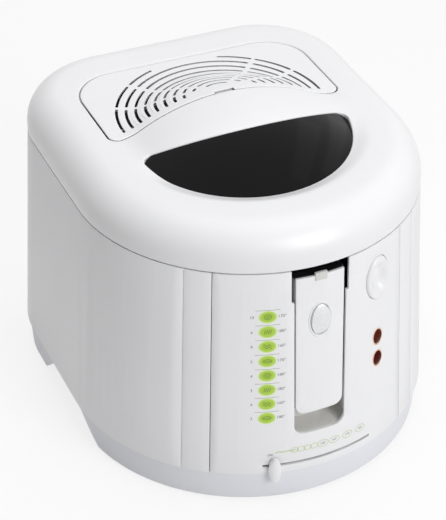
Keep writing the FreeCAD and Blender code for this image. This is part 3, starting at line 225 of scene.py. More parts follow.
# Colours that more than one finish has
WHITE = (0.85, 0.85, 0.865)
# Black painted as shade where the lid shades the handle's well and top end
PAINTED_SHADE_BLACK = (0.012, 0.012, 0.012)

# How finely the meshes are made
SKIN_SPACING = 3.4 * MM
EDGE_SPACING = 1.6 * MM
EASE_TURNS = [pi / 6 * part for part in (1, 2, 3)]
FRONT_STEPS = 150
REAR_STEPS = 40
TIP_STEPS = 14
BOW_STEPS = 110
COVER_FRONT_STEPS = 8
COVER_REAR_STEPS = 24
SLOT_END_STEPS = 6
LAMP_POINTS = 48
PLAN_TOLERANCE = 1e-7
WELD_DISTANCE = 2e-6
FLAT_ANGLE = radians(0.4)
SHARP_ANGLE = radians(38)


# Outlines in plan
def arc_points(centre, radius, start, end, count):
    """Points on an arc, with angles from +X towards +Y."""
    points = []
    for step in range(count + 1):
        angle = start + (end - start) * step / count
        points.append(Vector((centre[0] + radius * cos(angle), centre[1] + radius * sin(angle))))
    return points


def between(start, end, spacing):
    """Points on a straight run, without its two ends."""
    count = max(1, round((end - start).length / spacing))
    return [start.lerp(end, step / count) for step in range(1, count)]


def closed_through(runs, spacing):
    """A loop of runs joined by straight lines."""
    loop = []
    for number, run in enumerate(runs):
        following = runs[(number + 1) % len(runs)]
        loop += run + between(run[-1], following[0], spacing)
    return loop


def body_outline(inset):
    """The lid's outline, anticlockwise, moved in by an inset."""
    half = HALF_WIDTH - inset
    corner = REAR_CORNER - inset
    corner_x = HALF_WIDTH - REAR_CORNER
    corner_y = BACK_Y - REAR_CORNER
    front = arc_points((0, ARC_Y), half, -pi, 0, FRONT_STEPS)
    right = arc_points((corner_x, corner_y), corner, 0, pi / 2, REAR_STEPS)
    left = arc_points((-corner_x, corner_y), corner, pi / 2, pi, REAR_STEPS)
    return closed_through([front, right, left], 2 * SKIN_SPACING)


def moved_out(loop, distance):
    """An anticlockwise loop with every point moved along its outward normal."""
    moved = []
    for index, point in enumerate(loop):
        tangent = (loop[(index + 1) % len(loop)] - loop[index - 1]).normalized()
        moved.append(point + Vector((tangent.y, -tangent.x)) * distance)
    return moved


def window_outline():
    """Half-moon with its brow bowed forward and its tips rounded, anticlockwise."""
    brow_y = BROW_Y + BROW_RADIUS
    to_window = WINDOW_RADIUS - BROW_CORNER
    to_brow = BROW_RADIUS + BROW_CORNER
    tip_y = (to_window ** 2 - to_brow ** 2 + brow_y ** 2 - WINDOW_Y ** 2) / (2 * (brow_y - WINDOW_Y))
    tip_x = sqrt(to_window ** 2 - (tip_y - WINDOW_Y) ** 2)
    meet = atan2(tip_y - WINDOW_Y, tip_x)
    lean = atan2(brow_y - tip_y, -tip_x)
    front_count = round((pi + 2 * meet) * WINDOW_RADIUS / EDGE_SPACING)
    front = arc_points((0, WINDOW_Y), WINDOW_RADIUS, -pi - meet, meet, front_count)
    right = arc_points((tip_x, tip_y), BROW_CORNER, meet, lean, TIP_STEPS)
    brow_count = round(2 * (lean - pi / 2) * BROW_RADIUS / EDGE_SPACING)
    brow = arc_points((0, brow_y), BROW_RADIUS, lean - pi, -lean, brow_count)
    left = arc_points((-tip_x, tip_y), BROW_CORNER, pi - lean, pi - meet, TIP_STEPS)
    return front + right[1:] + brow[1:] + left[1:-1]


def cover_outline(grow, notched):
    """The filter cover's outline, anticlockwise, with a bowed front edge and its finger notch."""
    half = COVER_HALF + grow
    rear = COVER_REAR + grow
    front = COVER_FRONT - grow
    corner = max(COVER_FRONT_CORNER + grow, SHARPEST_CORNER)
    bow_radius = (half ** 2 + COVER_BOW ** 2) / (2 * COVER_BOW)
    bow_y = front + COVER_BOW - bow_radius
    turn = asin((half - corner) / bow_radius)
    bow = arc_points((0, bow_y), bow_radius, pi / 2 + turn, pi / 2 - turn, BOW_STEPS)
    if notched:
        edge_y = bow_y + sqrt(bow_radius ** 2 - NOTCH_HALF ** 2)
        corners = ((-1, 0), (-1, 1), (1, 1), (1, 0))
        notch = [Vector((side * NOTCH_HALF, edge_y + deep * NOTCH_DEPTH)) for side, deep in corners]
        clear = NOTCH_HALF + EDGE_SPACING / 2
        before = [point for point in bow if point.x < -clear]
        after = [point for point in bow if point.x > clear]
        bow = before + notch + after
    corner_y = bow[-1].y + corner
    rear_corner = COVER_REAR_CORNER + grow
    rear_x = half - rear_corner
    rear_y = rear - rear_corner
    right = arc_points((half - corner, corner_y), corner, -pi / 2, 0, COVER_FRONT_STEPS)[1:]
    rear_right = arc_points((rear_x, rear_y), rear_corner, 0, pi / 2, COVER_REAR_STEPS)
    rear_left = arc_points((-rear_x, rear_y), rear_corner, pi / 2, pi, COVER_REAR_STEPS)
    left = arc_points((corner - half, corner_y), corner, pi, 1.5 * pi, COVER_FRONT_STEPS)[:-1]
    return closed_through([bow + right, rear_right, rear_left, left], EDGE_SPACING * 2)


def inside(point, loop):
    """Whether a point lies inside a closed loop."""
    found = False
    for index, after in enumerate(loop):
        before = loop[index - 1]
        if (before.y > point.y) != (after.y > point.y):
            cross = before.x + (point.y - before.y) / (after.y - before.y) * (after.x - before.x)
            if point.x < cross:
                found = not found
    return found


def slot_point(radius, angle):
    return Vector((radius * cos(angle), SLOT_CENTRE_Y + radius * sin(angle)))


def slot_outlines():
    """The vent slots: arcs about the finger notch, kept inside the cover and broken by bridges."""
    room = cover_outline(-SLOT_MARGIN, False)
    slots = []
    for number in range(SLOT_COUNT):
        radius = SLOT_FIRST + number * SLOT_PITCH
        steps = round(2 * pi * radius / SLOT_STEP)
        run = []
        for step in range(steps + 1):
            angle = -pi / 2 + 2 * pi * step / steps
            bridged = any(
                abs(sin(angle - radians(bridge))) * radius < BRIDGE_HALF + SLOT_WIDTH / 2
                and cos(angle - radians(bridge)) > 0
                for bridge in BRIDGE_ANGLES
            )
            if inside(slot_point(radius, angle), room) and not bridged:
                run.append(angle)
                continue
            if len(run) > 1 and (run[-1] - run[0]) * radius > SLOT_SHORTEST:
                slots.append(slot_loop(radius, run[0], run[-1]))
            run = []
    return slots


def slot_loop(radius, start, end):
    """One slot with round ends, anticlockwise."""
    half = SLOT_WIDTH / 2
    count = max(3, round((end - start) * radius / EDGE_SPACING))
    centre = (0, SLOT_CENTRE_Y)
    outer = arc_points(centre, radius + half, start, end, count)
    inner = arc_points(centre, radius - half, end, start, count)
    far_end = arc_points(slot_point(radius, end), half, end, end + pi, SLOT_END_STEPS)
    near_end = arc_points(slot_point(radius, start), half, start + pi, start + 2 * pi, SLOT_END_STEPS)
    return outer + far_end[1:-1] + inner + near_end[1:-1]


# Heights of the lid's outer skin
def plan_depth(x, y):
    """How far a point lies inside the lid's outline."""
    if y <= ARC_Y:
        return HALF_WIDTH - hypot(x, y - ARC_Y)
    side = abs(x) - (HALF_WIDTH - REAR_CORNER)
    rear = y - (BACK_Y - REAR_CORNER)
    if side > 0 and rear > 0:
        return REAR_CORNER - hypot(side, rear)
    return min(HALF_WIDTH - abs(x), BACK_Y - y)


def smooth_step(low, high, value):
    share = min(1.0, max(0.0, (value - low) / (high - low)))
    return share * share * (3 - 2 * share)


def rolled_height(depth):
    """Height on the lid's rolled edge at a depth inside its outline."""
    if depth >= LID_ROLL:
        return LID_TOP
    return LID_TOP - LID_ROLL + sqrt(LID_ROLL ** 2 - (LID_ROLL - max(0.0, depth)) ** 2)


def mound_height(x, y):
    """The low dome, blended into the flat top."""
    reach = hypot(x, y - MOUND_Y)
    blend_z = LID_TOP + MOUND_BLEND
    blend_reach = sqrt((MOUND_RADIUS + MOUND_BLEND) ** 2 - (blend_z - MOUND_CENTRE_Z) ** 2)
    meet = blend_reach * MOUND_RADIUS / (MOUND_RADIUS + MOUND_BLEND)
    if reach <= meet:
        return MOUND_CENTRE_Z + sqrt(MOUND_RADIUS ** 2 - reach ** 2)
    if reach < blend_reach:
        return blend_z - sqrt(MOUND_BLEND ** 2 - (blend_reach - reach) ** 2)
    return LID_TOP


def glass_height(x, y):
    reach = hypot(x, y - MOUND_Y)
    return MOUND_CENTRE_Z + sqrt((MOUND_RADIUS - GLASS_SINK) ** 2 - reach ** 2)


def lid_height(x, y):
    """Rolled edge, flat top and dome, with a soft dish round the window's front."""
    height = rolled_height(plan_depth(x, y)) + mound_height(x, y) - LID_TOP
    reach = hypot(x, y - WINDOW_Y)
    across = (reach - WINDOW_RADIUS) / DISH_WIDTH
    if 0 <= across < 1:
        turn = abs(atan2(x, WINDOW_Y - y))
        fade = 1 - smooth_step(*DISH_FADE, turn)
        rise = smooth_step(DISH_START, 1, across)
        share = WINDOW_RADIUS / reach
        floor = glass_height(x * share, WINDOW_Y + (y - WINDOW_Y) * share)
        height -= max(0.0, height - floor) * (1 - rise) * fade
    return height


# Meshes
def new_object(name, mesh):
    piece = bpy.data.objects.new(name, mesh)
    bpy.context.scene.collection.objects.link(piece)
    return piece


def mesh_object(name, verts, faces, edges=()):
    mesh = bpy.data.meshes.new(name)
    mesh.from_pydata(verts, edges, faces)
    return new_object(name, mesh)


def built_object(name, build):
    """A piece from a built mesh, which is then let go."""
    mesh = bpy.data.meshes.new(name)
    build.to_mesh(mesh)
    build.free()
    return new_object(name, mesh)


def smooth(piece, angle):
    piece.data.polygons.foreach_set("use_smooth", [True] * len(piece.data.polygons))
    piece.data.set_sharp_from_angle(angle=radians(angle))


def shaped_mesh(piece):
    """A plain mesh of a piece as its modifiers shape it."""
    bpy.context.view_layer.update()
    return bpy.data.meshes.new_from_object(piece.evaluated_get(bpy.context.evaluated_depsgraph_get()))


def applied(piece):
    """Turns a piece with modifiers into a plain mesh."""
    mesh = shaped_mesh(piece)
    old = piece.data
    piece.modifiers.clear()
    piece.data = mesh
    bpy.data.meshes.remove(old)
    return piece


def thicken(piece, thickness):
    wall = piece.modifiers.new("wall", "SOLIDIFY")
    wall.thickness = thickness
    wall.offset = -1


def soften(piece, width):
    soft = piece.modifiers.new("soft", "BEVEL")
    soft.width = width
    soft.segments = 2
    return soft


def paint(piece, material):
    piece.data.materials.clear()
    piece.data.materials.append(material)


def finished(piece, body, material, slot, *nodes):
    """Gives a piece its finish and the body it moves with, and hides the solids it stands for."""
    paint(piece, material)
    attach(piece, body)
    if nodes:
        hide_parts(*nodes)


def ring_faces(first, count, rings):
    """Faces between rings of points that follow one another outwards."""
    faces = []
    for ring in range(rings - 1):
        inner = first + ring * count
        outer = inner + count
        for step in range(count):
            after = (step + 1) % count
            faces.append((inner + step, outer + step, outer + after, inner + after))
    return faces


def fan_faces(middle, first, count):
    """Faces from a middle point to the ring round it."""
    return [(middle, first + step, first + (step + 1) % count) for step in range(count)]


def easing(ease):
    """Steps (inset, drop) over a rounded edge."""
    return [(ease * (1 - sin(turn)), ease * (1 - cos(turn))) for turn in EASE_TURNS]


def skin(name, outer, outer_inset, outer_steps, holes, hole_ease, hole_wall, points, height, thickness):
    """A sheet over a plan, with stepped outer edges and eased holes, thickened inwards."""
    loops = [(outer, moved_out(outer, -outer_inset), -1, outer_steps)]
    hole_steps = easing(hole_ease) + [(0, hole_ease + hole_wall)]
    for hole in holes:
        loops.append((hole, moved_out(hole, hole_ease), 1, hole_steps))
    flat = []
    areas = []
    for _, top_loop, _, _ in loops:
        areas.append(list(range(len(flat), len(flat) + len(top_loop))))
        flat += top_loop
    plan = delaunay_2d_cdt(flat + points, [], areas, 0, PLAN_TOLERANCE)
    verts, _, faces, sources, _, inside_areas = plan
    place = {source: index for index, found in enumerate(sources) for source in found}
    build = bmesh.new()
    top = [build.verts.new((vert.x, vert.y, height(vert.x, vert.y))) for vert in verts]
    for face, found in zip(faces, inside_areas):
        if found == [0]:
            build.faces.new([top[index] for index in face])
    first = 0
    for loop, _, side, steps in loops:
        count = len(loop)
        ring_now = [top[place[first + index]] for index in range(count)]
        heights = [vert.co.z for vert in ring_now]
        first += count
        for inset, drop in steps:
            spots = moved_out(loop, side * inset)
            ring_next = [build.verts.new((spot.x, spot.y, z - drop)) for spot, z in zip(spots, heights)]
            for index in range(count):
                after = (index + 1) % count
                build.faces.new([ring_now[index], ring_now[after], ring_next[after], ring_next[index]])
            ring_now = ring_next
    loose = [vert for vert in build.verts if not vert.link_faces]
    bmesh.ops.delete(build, geom=loose, context="VERTS")
    bmesh.ops.recalc_face_normals(build, faces=build.faces)
    top_face = max(build.faces, key=lambda face: face.calc_center_median().z)
    if top_face.normal.z < 0:
        bmesh.ops.reverse_faces(build, faces=build.faces)
    piece = built_object(name, build)
    thicken(piece, thickness)
    piece = applied(piece)
    smooth(piece, 40)
    return piece


def staggered(low, high, spacing):
    """Staggered points over a rectangle."""
    points = []
    row_step = spacing * sqrt(0.75)
    for row in range(int((high.y - low.y) / row_step) + 1):
        for column in range(int((high.x - low.x) / spacing) + 1):
            x = low.x + (column + 0.5 * (row % 2)) * spacing
            points.append(Vector((x, low.y + row * row_step)))
    return points


def lid_skin():
    """The lid's outer shell, open over the window and the filter."""
    turns = [radians(angle) for angle in range(ROLL_SPLIT_DEGREES, 90, ROLL_STEP_DEGREES)]
    insets = [LID_ROLL * (1 - cos(turn)) for turn in turns]
    points = []
    for inset in insets[1:]:
        points += body_outline(inset)
    window = window_outline()
    for out in WINDOW_RINGS:
        points += moved_out(window, out)
    clear = DISH_WIDTH + 2 * SKIN_SPACING
    middle = Vector((0, WINDOW_Y))
    front_left = Vector((-HALF_WIDTH, ARC_Y - HALF_WIDTH))
    for point in staggered(front_left, Vector((HALF_WIDTH, BACK_Y)), SKIN_SPACING):
        by_window = (point - middle).length < WINDOW_RADIUS + clear and point.y < WINDOW_Y + clear
        if plan_depth(point.x, point.y) > LID_ROLL and not by_window:
            points.append(point)
    top_z = rolled_height(insets[0])
    steps = []
    for angle in range(ROLL_SPLIT_DEGREES - ROLL_STEP_DEGREES, -1, -ROLL_STEP_DEGREES):
        inset = LID_ROLL * (1 - cos(radians(angle)))
        steps.append((inset, top_z - rolled_height(inset)))
    foot_drop = top_z - SEAM_Z - LID_FOOT_EASE
    steps.append((0, foot_drop))
    for turn in EASE_TURNS:
        steps.append((LID_FOOT_EASE * (1 - cos(turn)), foot_drop + LID_FOOT_EASE * sin(turn)))
    cover = cover_outline(COVER_GAP, False)
    return skin(
        "lid_skin", body_outline(0), insets[0], steps, [window, cover], WINDOW_EASE, WINDOW_WALL,
        points, lid_height, LID_WALL,
    )


def cover_skin():
    """The filter cover with its vent slots."""
    points = staggered(Vector((-COVER_HALF, COVER_FRONT)), Vector((COVER_HALF, COVER_REAR)), SKIN_SPACING)
    steps = easing(COVER_EASE) + [(0, COVER_EASE + COVER_LIP)]
    return skin(
        "filter_cover_skin", cover_outline(0, True), COVER_EASE, steps, slot_outlines(), SLOT_EASE, COVER_LIP,
        points, mound_height, COVER_THICK,
    )


def finger_tab():
    """Sloped lip under the cover's finger notch."""
    edge_y = COVER_FRONT + COVER_BOW - TAB_FRONT
    half = NOTCH_HALF - TAB_SIDE
    verts = []
    rows = 5
    for row in range(rows):
        share = row / (rows - 1)
        y = edge_y + (NOTCH_DEPTH + TAB_BEHIND) * share
        for x in (-half, -half / 3, half / 3, half):
            verts.append(Vector((x, y, mound_height(x, y) - TAB_SINK - TAB_DROP * share)))
    faces = []
    for row in range(rows - 1):
        for column in range(3):
            corner = 4 * row + column
            faces.append((corner, corner + 1, corner + 5, corner + 4))
    piece = mesh_object("finger_tab", verts, faces)
    thicken(piece, TAB_THICK)
    soften(piece, TAB_EASE)
    return applied(piece)


def eased_copy(node, width):
    """A copy of a solid with its sharp edges rounded a little."""
    build = bmesh.new()
    build.from_mesh(NODES[node].data)
    bmesh.ops.remove_doubles(build, verts=build.verts, dist=WELD_DISTANCE)
    bmesh.ops.dissolve_degenerate(build, edges=build.edges, dist=WELD_DISTANCE)
    bmesh.ops.dissolve_limit(
        build, angle_limit=FLAT_ANGLE, use_dissolve_boundaries=False,
        verts=build.verts, edges=build.edges,
    )
    piece = built_object(node + "_eased", build)
    soft = soften(piece, width)
    soft.limit_method = "ANGLE"
    soft.angle_limit = SHARP_ANGLE
    piece = applied(piece)
    smooth(piece, 32)
    return piece


# Node trees
def added(tree, kind, inputs, operation=None):
    """The first output of a new node, with each input linked to a socket or set to a value."""
    node = tree.nodes.new(kind)
    if operation:
        node.operation = operation
    for label, value in inputs.items():
        if isinstance(value, bpy.types.NodeSocket):
            tree.links.new(value, node.inputs[label])
        else:
            node.inputs[label].default_value = value
    return node.outputs[0] if node.outputs else None


# Geometry Nodes for what repeats
def new_tree(name, inputs):
    """An empty tree with named inputs; returns the tree and the sockets of its inputs."""
    tree = bpy.data.node_groups.new(name, "GeometryNodeTree")
    for label, kind in [("Geometry", "Geometry"), *inputs, ("Material", "Material")]:
        tree.interface.new_socket(label, in_out="INPUT", socket_type="NodeSocket" + kind)
    tree.interface.new_socket("Geometry", in_out="OUTPUT", socket_type="NodeSocketGeometry")
    return tree, tree.nodes.new("NodeGroupInput").outputs


def ended(tree, geometry, enter):
    """Realizes the instances, sets the material and leaves the tree."""
    realized = added(tree, "GeometryNodeRealizeInstances", {"Geometry": geometry})
    painted = added(tree, "GeometryNodeSetMaterial", {"Geometry": realized, "Material": enter["Material"]})
    added(tree, "NodeGroupOutput", {"Geometry": painted})
    return tree


def wire_tube(tree, curve, enter):
    """A round wire along a curve."""
    profile = added(tree, "GeometryNodeCurvePrimitiveCircle", {
        "Resolution": WIRE_SIDES, "Radius": enter["Wire radius"],
    })
    return added(tree, "GeometryNodeCurveToMesh", {"Curve": curve, "Profile Curve": profile})


def wires_round_axis():
    """Turns one bent wire about the upright axis."""
    tree, enter = new_tree("wires_round_axis", [("Count", "Int"), ("Wire radius", "Float")])
    curve = added(tree, "GeometryNodeMeshToCurve", {"Mesh": enter["Geometry"]})
    index = added(tree, "GeometryNodeInputIndex", {})
    share = added(tree, "ShaderNodeMath", {0: index, 1: enter["Count"]}, "DIVIDE")
    turn = added(tree, "ShaderNodeMath", {0: share, 1: 2 * pi}, "MULTIPLY")
    rotation = added(tree, "ShaderNodeCombineXYZ", {"Z": turn})
    spots = added(tree, "GeometryNodePoints", {"Count": enter["Count"]})
    placed = added(tree, "GeometryNodeInstanceOnPoints", {
        "Points": spots, "Instance": wire_tube(tree, curve, enter), "Rotation": rotation,
    })
    return ended(tree, placed, enter)


def wire_hoops():
    """Level hoops whose height and radius run evenly from the first to the last."""
    measures = ("height", "radius")
    ends = [(end + measure, "Float") for measure in measures for end in ("First ", "Last ")]
    tree, enter = new_tree("wire_hoops", [("Count", "Int"), ("Wire radius", "Float"), *ends])
    index = added(tree, "GeometryNodeInputIndex", {})
    last = added(tree, "ShaderNodeMath", {0: enter["Count"], 1: 1}, "SUBTRACT")
    height, radius = [
        added(tree, "ShaderNodeMapRange", {
            "Value": index, "From Max": last,
            "To Min": enter["First " + measure], "To Max": enter["Last " + measure],
        })
        for measure in measures
    ]
    lift = added(tree, "ShaderNodeCombineXYZ", {"Z": height})
    grow = added(tree, "ShaderNodeCombineXYZ", {"X": radius, "Y": radius, "Z": 1})
    spots = added(tree, "GeometryNodePoints", {"Count": enter["Count"], "Position": lift})
    hoop = added(tree, "GeometryNodeCurvePrimitiveCircle", {"Resolution": HOOP_SIDES, "Radius": 1})
    placed = added(tree, "GeometryNodeInstanceOnPoints", {"Points": spots, "Instance": hoop, "Scale": grow})
    curves = added(tree, "GeometryNodeRealizeInstances", {"Geometry": placed})
    return ended(tree, wire_tube(tree, curves, enter), enter)


def row_of_copies():
    """Copies of a mesh in a straight row."""
    tree, enter = new_tree("row_of_copies", [("Count", "Int"), ("Step", "Vector")])
    row = added(tree, "GeometryNodeMeshLine", {"Count": enter["Count"], "Offset": enter["Step"]})
    placed = added(tree, "GeometryNodeInstanceOnPoints", {"Points": row, "Instance": enter["Geometry"]})
    return ended(tree, placed, enter)


def grown(piece, tree, **values):
    """Runs a tree on a piece, with inputs named by words joined with underscores."""
    nodes = piece.modifiers.new("nodes", "NODES")
    nodes.node_group = tree
    for item in tree.interface.items_tree:
        key = item.name.lower().replace(" ", "_")
        if item.in_out == "INPUT" and key in values:
            nodes[item.identifier] = values[key]
    return applied(piece)


# Marks printed on the wall
def wall_radius(z):
    return HALF_WIDTH + FLARE * (SEAM_Z - z) / (SEAM_Z - BASE_TOP)


def on_wall(angle, z, proud):
    """A point on the wall at an angle from the front, growing to the right."""
    radius = wall_radius(z) + proud
    return Vector((radius * sin(angle), ARC_Y - radius * cos(angle), z))


def laid_on_wall(flat, angle, z, proud):
    """Flat points moved onto the wall about a place on it."""
    middle = radians(angle)
    return [on_wall(middle + u / wall_radius(z), z + v, proud) for u, v in flat]


def stroke(points, width, closed=False):
    """A line of one width along flat points."""
    verts = []
    faces = []
    count = len(points)
    for index, point in enumerate(points):
        before = points[index - 1] if closed or index > 0 else point
        after = points[(index + 1) % count] if closed or index < count - 1 else point
        tangent = (after - before).normalized()
        side = Vector((-tangent.y, tangent.x)) * width / 2
        verts += [point + side, point - side]
    for index in range(count if closed else count - 1):
        after = (index + 1) % count
        faces.append((2 * index + 1, 2 * after + 1, 2 * after, 2 * index))
    return verts, faces


def ellipse(half_wide, half_tall, count=OVAL_POINTS):
    turns = [2 * pi * step / count for step in range(count)]
    return [Vector((half_wide * cos(turn), half_tall * sin(turn))) for turn in turns]


def words_flat(text, size):
    """The outline of a few signs as flat points and faces, centred."""
    curve = bpy.data.curves.new("signs", "FONT")
    curve.body = text
    curve.size = size
    curve.align_x = "CENTER"
    curve.align_y = "CENTER"
    curve.resolution_u = 3
    holder = new_object("signs", curve)
    mesh = shaped_mesh(holder)
    verts = [Vector((vert.co.x, vert.co.y)) for vert in mesh.vertices]
    faces = [tuple(face.vertices) for face in mesh.polygons]
    bpy.data.objects.remove(holder)
    bpy.data.curves.remove(curve)
    bpy.data.meshes.remove(mesh)
    return verts, faces


class Print:
    """Flat marks gathered into one printed layer."""

    def __init__(self):
        self.verts = []
        self.faces = []

    def add(self, shape, angle, z):
        flat, faces = shape
        first = len(self.verts)
        self.verts += laid_on_wall(flat, angle, z, PRINT_PROUD)
        self.faces += [tuple(first + index for index in face) for face in faces]

    def lay(self, name, ink):
        """Makes the layer a piece of the housing."""
        finished(mesh_object(name, self.verts, self.faces), "housing", ink, "white_plastic")


def motif(number):
    """Plain signs that take turns: two rings, four bars, two waves, and a leaf with its rib."""
    kind = number % 4
    if kind == 0:
        rings = [ellipse(RING_HALVES[0] * share, RING_HALVES[1] * share, 12) for share in RING_SHARES]
        return [stroke(ring, MARK_STROKE, True) for ring in rings]
    if kind == 1:
        bars = [[Vector((place, -BAR_HALF)), Vector((place + BAR_LEAN, BAR_HALF))] for place in BAR_PLACES]
        return [stroke(bar, MARK_STROKE) for bar in bars]
    if kind == 2:
        wave = [Vector(((step - 6) * WAVE_STEP, WAVE_TALL * sin(step))) for step in range(13)]
        return [stroke([point + Vector((0, lift)) for point in wave], MARK_STROKE) for lift in WAVE_LIFTS]
    rib = [Vector((-RIB_HALF, 0)), Vector((RIB_HALF, 0))]
    return [stroke(ellipse(*LEAF_HALVES, 16), MARK_STROKE, True), stroke(rib, MARK_STROKE)]


def guide_oval():
    """One oval of the cooking guide, with a map from its middle to its edge."""
    flat = [Vector((0, 0))]
    shares = [0.0]
    for share in OVAL_RINGS:
        flat += ellipse(MARK_WIDE / 2 * share, MARK_TALL / 2 * share)
        shares += [share] * OVAL_POINTS
    faces = fan_faces(0, 1, OVAL_POINTS) + ring_faces(1, OVAL_POINTS, len(OVAL_RINGS))
    piece = mesh_object("guide_ovals", laid_on_wall(flat, MARK_ANGLE, MARK_TOP_Z, PRINT_PROUD / 2), faces)
    edge = piece.data.uv_layers.new(name="edge")
    for loop in piece.data.loops:
        edge.data[loop.index].uv = (shares[loop.vertex_index], 0.5)
    return piece


def guide_pieces(lime, ink, dark_green):
    """The cooking guide: a column of ovals with plain signs and numbers."""
    ovals = guide_oval()
    step = on_wall(radians(MARK_ANGLE), MARK_TOP_Z - MARK_PITCH, 0)
    step -= on_wall(radians(MARK_ANGLE), MARK_TOP_Z, 0)
    ovals = grown(ovals, row_of_copies(), count=len(MINUTES), step=step, material=lime)
    numbers = Print()
    signs = Print()
    for row, (minutes, heat) in enumerate(zip(MINUTES, DEGREES)):
        z = MARK_TOP_Z - row * MARK_PITCH
        left = degrees(NUMBER_LEFT / wall_radius(z))
        right = degrees(NUMBER_RIGHT / wall_radius(z))
        numbers.add(words_flat(minutes, NUMBER_SIZE), MARK_ANGLE + left, z)
        numbers.add(words_flat(heat + "°", NUMBER_SIZE), MARK_ANGLE + right, z)
        for shape in motif(row):
            signs.add(shape, MARK_ANGLE, z)
        line = [Vector((share * MARK_LINE_HALF, MARK_LINE_ABOVE)) for share in (-1, -0.5, 0, 0.5, 1)]
        signs.add(stroke(line, MARK_LINE), MARK_ANGLE, z)
    finished(ovals, "housing", lime, "white_plastic")
    numbers.lay("guide_numbers", ink)
    signs.lay("guide_signs", dark_green)


def scale_pieces(pale_green, ink):
    """The temperature scale above the slider's slot."""
    lines = Print()
    numbers = Print()
    numbers.add(words_flat("OFF", SCALE_TEXT), OFF_ANGLE, SCALE_Z - OFF_DROP)
    lead = [Vector((step * MM, LEAD_WAVE * sin(step))) for step in range(-8, 9)]
    lines.add(stroke(lead, LEAD_STROKE), LEAD_ANGLE, SCALE_Z)
    for angle in SCALE_LINKS:
        lines.add(stroke(ellipse(*LINK_HALVES), SCALE_STROKE, True), angle, SCALE_Z)
    for angle, number in SCALE_NUMBERS:
        lines.add(stroke(ellipse(*NUMBER_HALVES), SCALE_STROKE, True), angle, SCALE_Z)
        numbers.add(words_flat(number + "°", SCALE_TEXT), angle, SCALE_Z)
    lines.lay("scale_lines", pale_green)
    numbers.lay("scale_numbers", ink)


def lamp_edges(glow):
    """The pale printed edge round each pilot lamp."""
    edges = Print()
    for node in ("power_lamp_lens", "heat_lamp_lens"):
        low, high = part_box(node)
        half_tall = (high.z - low.z) / 2
        half_wide = half_tall * LAMP_SLENDER
        loop = ellipse(half_wide + LAMP_EDGE / 2, half_tall + LAMP_EDGE / 2, LAMP_POINTS)
        edges.add(stroke(loop, LAMP_EDGE, True), LAMP_ANGLE, (low.z + high.z) / 2)
    edges.lay("lamp_edges", glow)


# Buttons and basket
def button_bead(material):
    """Half-round bead on the handle round its button."""
    around = 64
    across = 7
    verts = []
    for part in range(across):
        swing = pi * (1 - part / (across - 1))
        out = BUTTON_BEAD * (1 + cos(swing))
        ring = ellipse(BUTTON_HALF_WIDE + out, BUTTON_HALF_TALL + out, around)
        proud = BUTTON_BEAD * BEAD_RISE * sin(swing) - HANDLE_SINK - BEAD_SINK
        verts += laid_on_wall(ring, 0, BUTTON_Z, proud)
    piece = mesh_object("button_bead", verts, ring_faces(0, around, across))
    smooth(piece, 60)
    finished(piece, "handle", material, "white_plastic")


def release_cap():
    """Oval cap of the lid's release: a hollow face inside a rounded rim."""
    around = 72
    across = 22
    rings = []
    for part in range(1, across + 1):
        share = part / across
        hollow = RELEASE_HOLLOW * (1 - smooth_step(*RELEASE_SLOPE, share))
        fall = RELEASE_RIM * max(0.0, (share - RELEASE_CREST) / (1 - RELEASE_CREST)) ** 2
        rings.append((share, RELEASE_RIM - hollow - fall))
    rings.append((1.0, -RELEASE_SKIRT))
    verts = []
    for proud in (RELEASE_RIM - RELEASE_HOLLOW, -RELEASE_SKIRT):
        verts += laid_on_wall([(0, 0)], RELEASE_ANGLE, RELEASE_Z, proud)
    for share, proud in rings:
        ring = ellipse(share * RELEASE_HALF_WIDE, share * RELEASE_HALF_TALL, around)
        verts += laid_on_wall(ring, RELEASE_ANGLE, RELEASE_Z, proud)
    back = fan_faces(1, 2 + across * around, around)
    faces = fan_faces(0, 2, around) + ring_faces(2, around, len(rings)) + [face[::-1] for face in back]
    piece = mesh_object("release_cap", verts, faces)
    smooth(piece, 50)
    return piece


def wire_basket(steel):
    """Wire cage in place of the basket's plain cup."""
    low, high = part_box("basket")
    top_radius = high.x - WIRE
    foot_radius = top_radius - BASKET_TAPER
    foot_z = low.z + WIRE
    bend_z = foot_z + BASKET_BEND
    path = [Vector((top_radius, 0, high.z)), Vector((foot_radius + BASKET_LEAN, 0, bend_z))]
    for step in range(1, 6):
        turn = pi / 2 * step / 5
        radius = foot_radius - BASKET_BEND * (1 - cos(turn))
        path.append(Vector((radius, 0, bend_z - BASKET_BEND * sin(turn))))
    path.append(Vector((BASKET_HUB, 0, foot_z)))
    edges = [(index, index + 1) for index in range(len(path) - 1)]
    spokes = mesh_object("basket_spokes", path, [], edges)
    grown(spokes, wires_round_axis(), count=SPOKE_COUNT, wire_radius=WIRE, material=steel)
    pieces = [spokes]
    hoops = wire_hoops()
    for name, count, first, last in (
        ("basket_side_hoops", SIDE_HOOPS, (bend_z, foot_radius), (high.z - WIRE, top_radius)),
        ("basket_floor_hoops", FLOOR_HOOPS, (foot_z, BASKET_HUB), (foot_z, foot_radius - BASKET_BEND)),
    ):
        piece = mesh_object(name, [], [])
        grown(
            piece, hoops, count=count, wire_radius=WIRE, first_height=first[0], last_height=last[0],
            first_radius=first[1], last_radius=last[1], material=steel,
        )
        pieces.append(piece)
    for piece in pieces:
        piece.data.transform(Matrix.Translation((0, ARC_Y, 0)))
        smooth(piece, 60)
        finished(piece, "basket", steel, "steel", "basket")


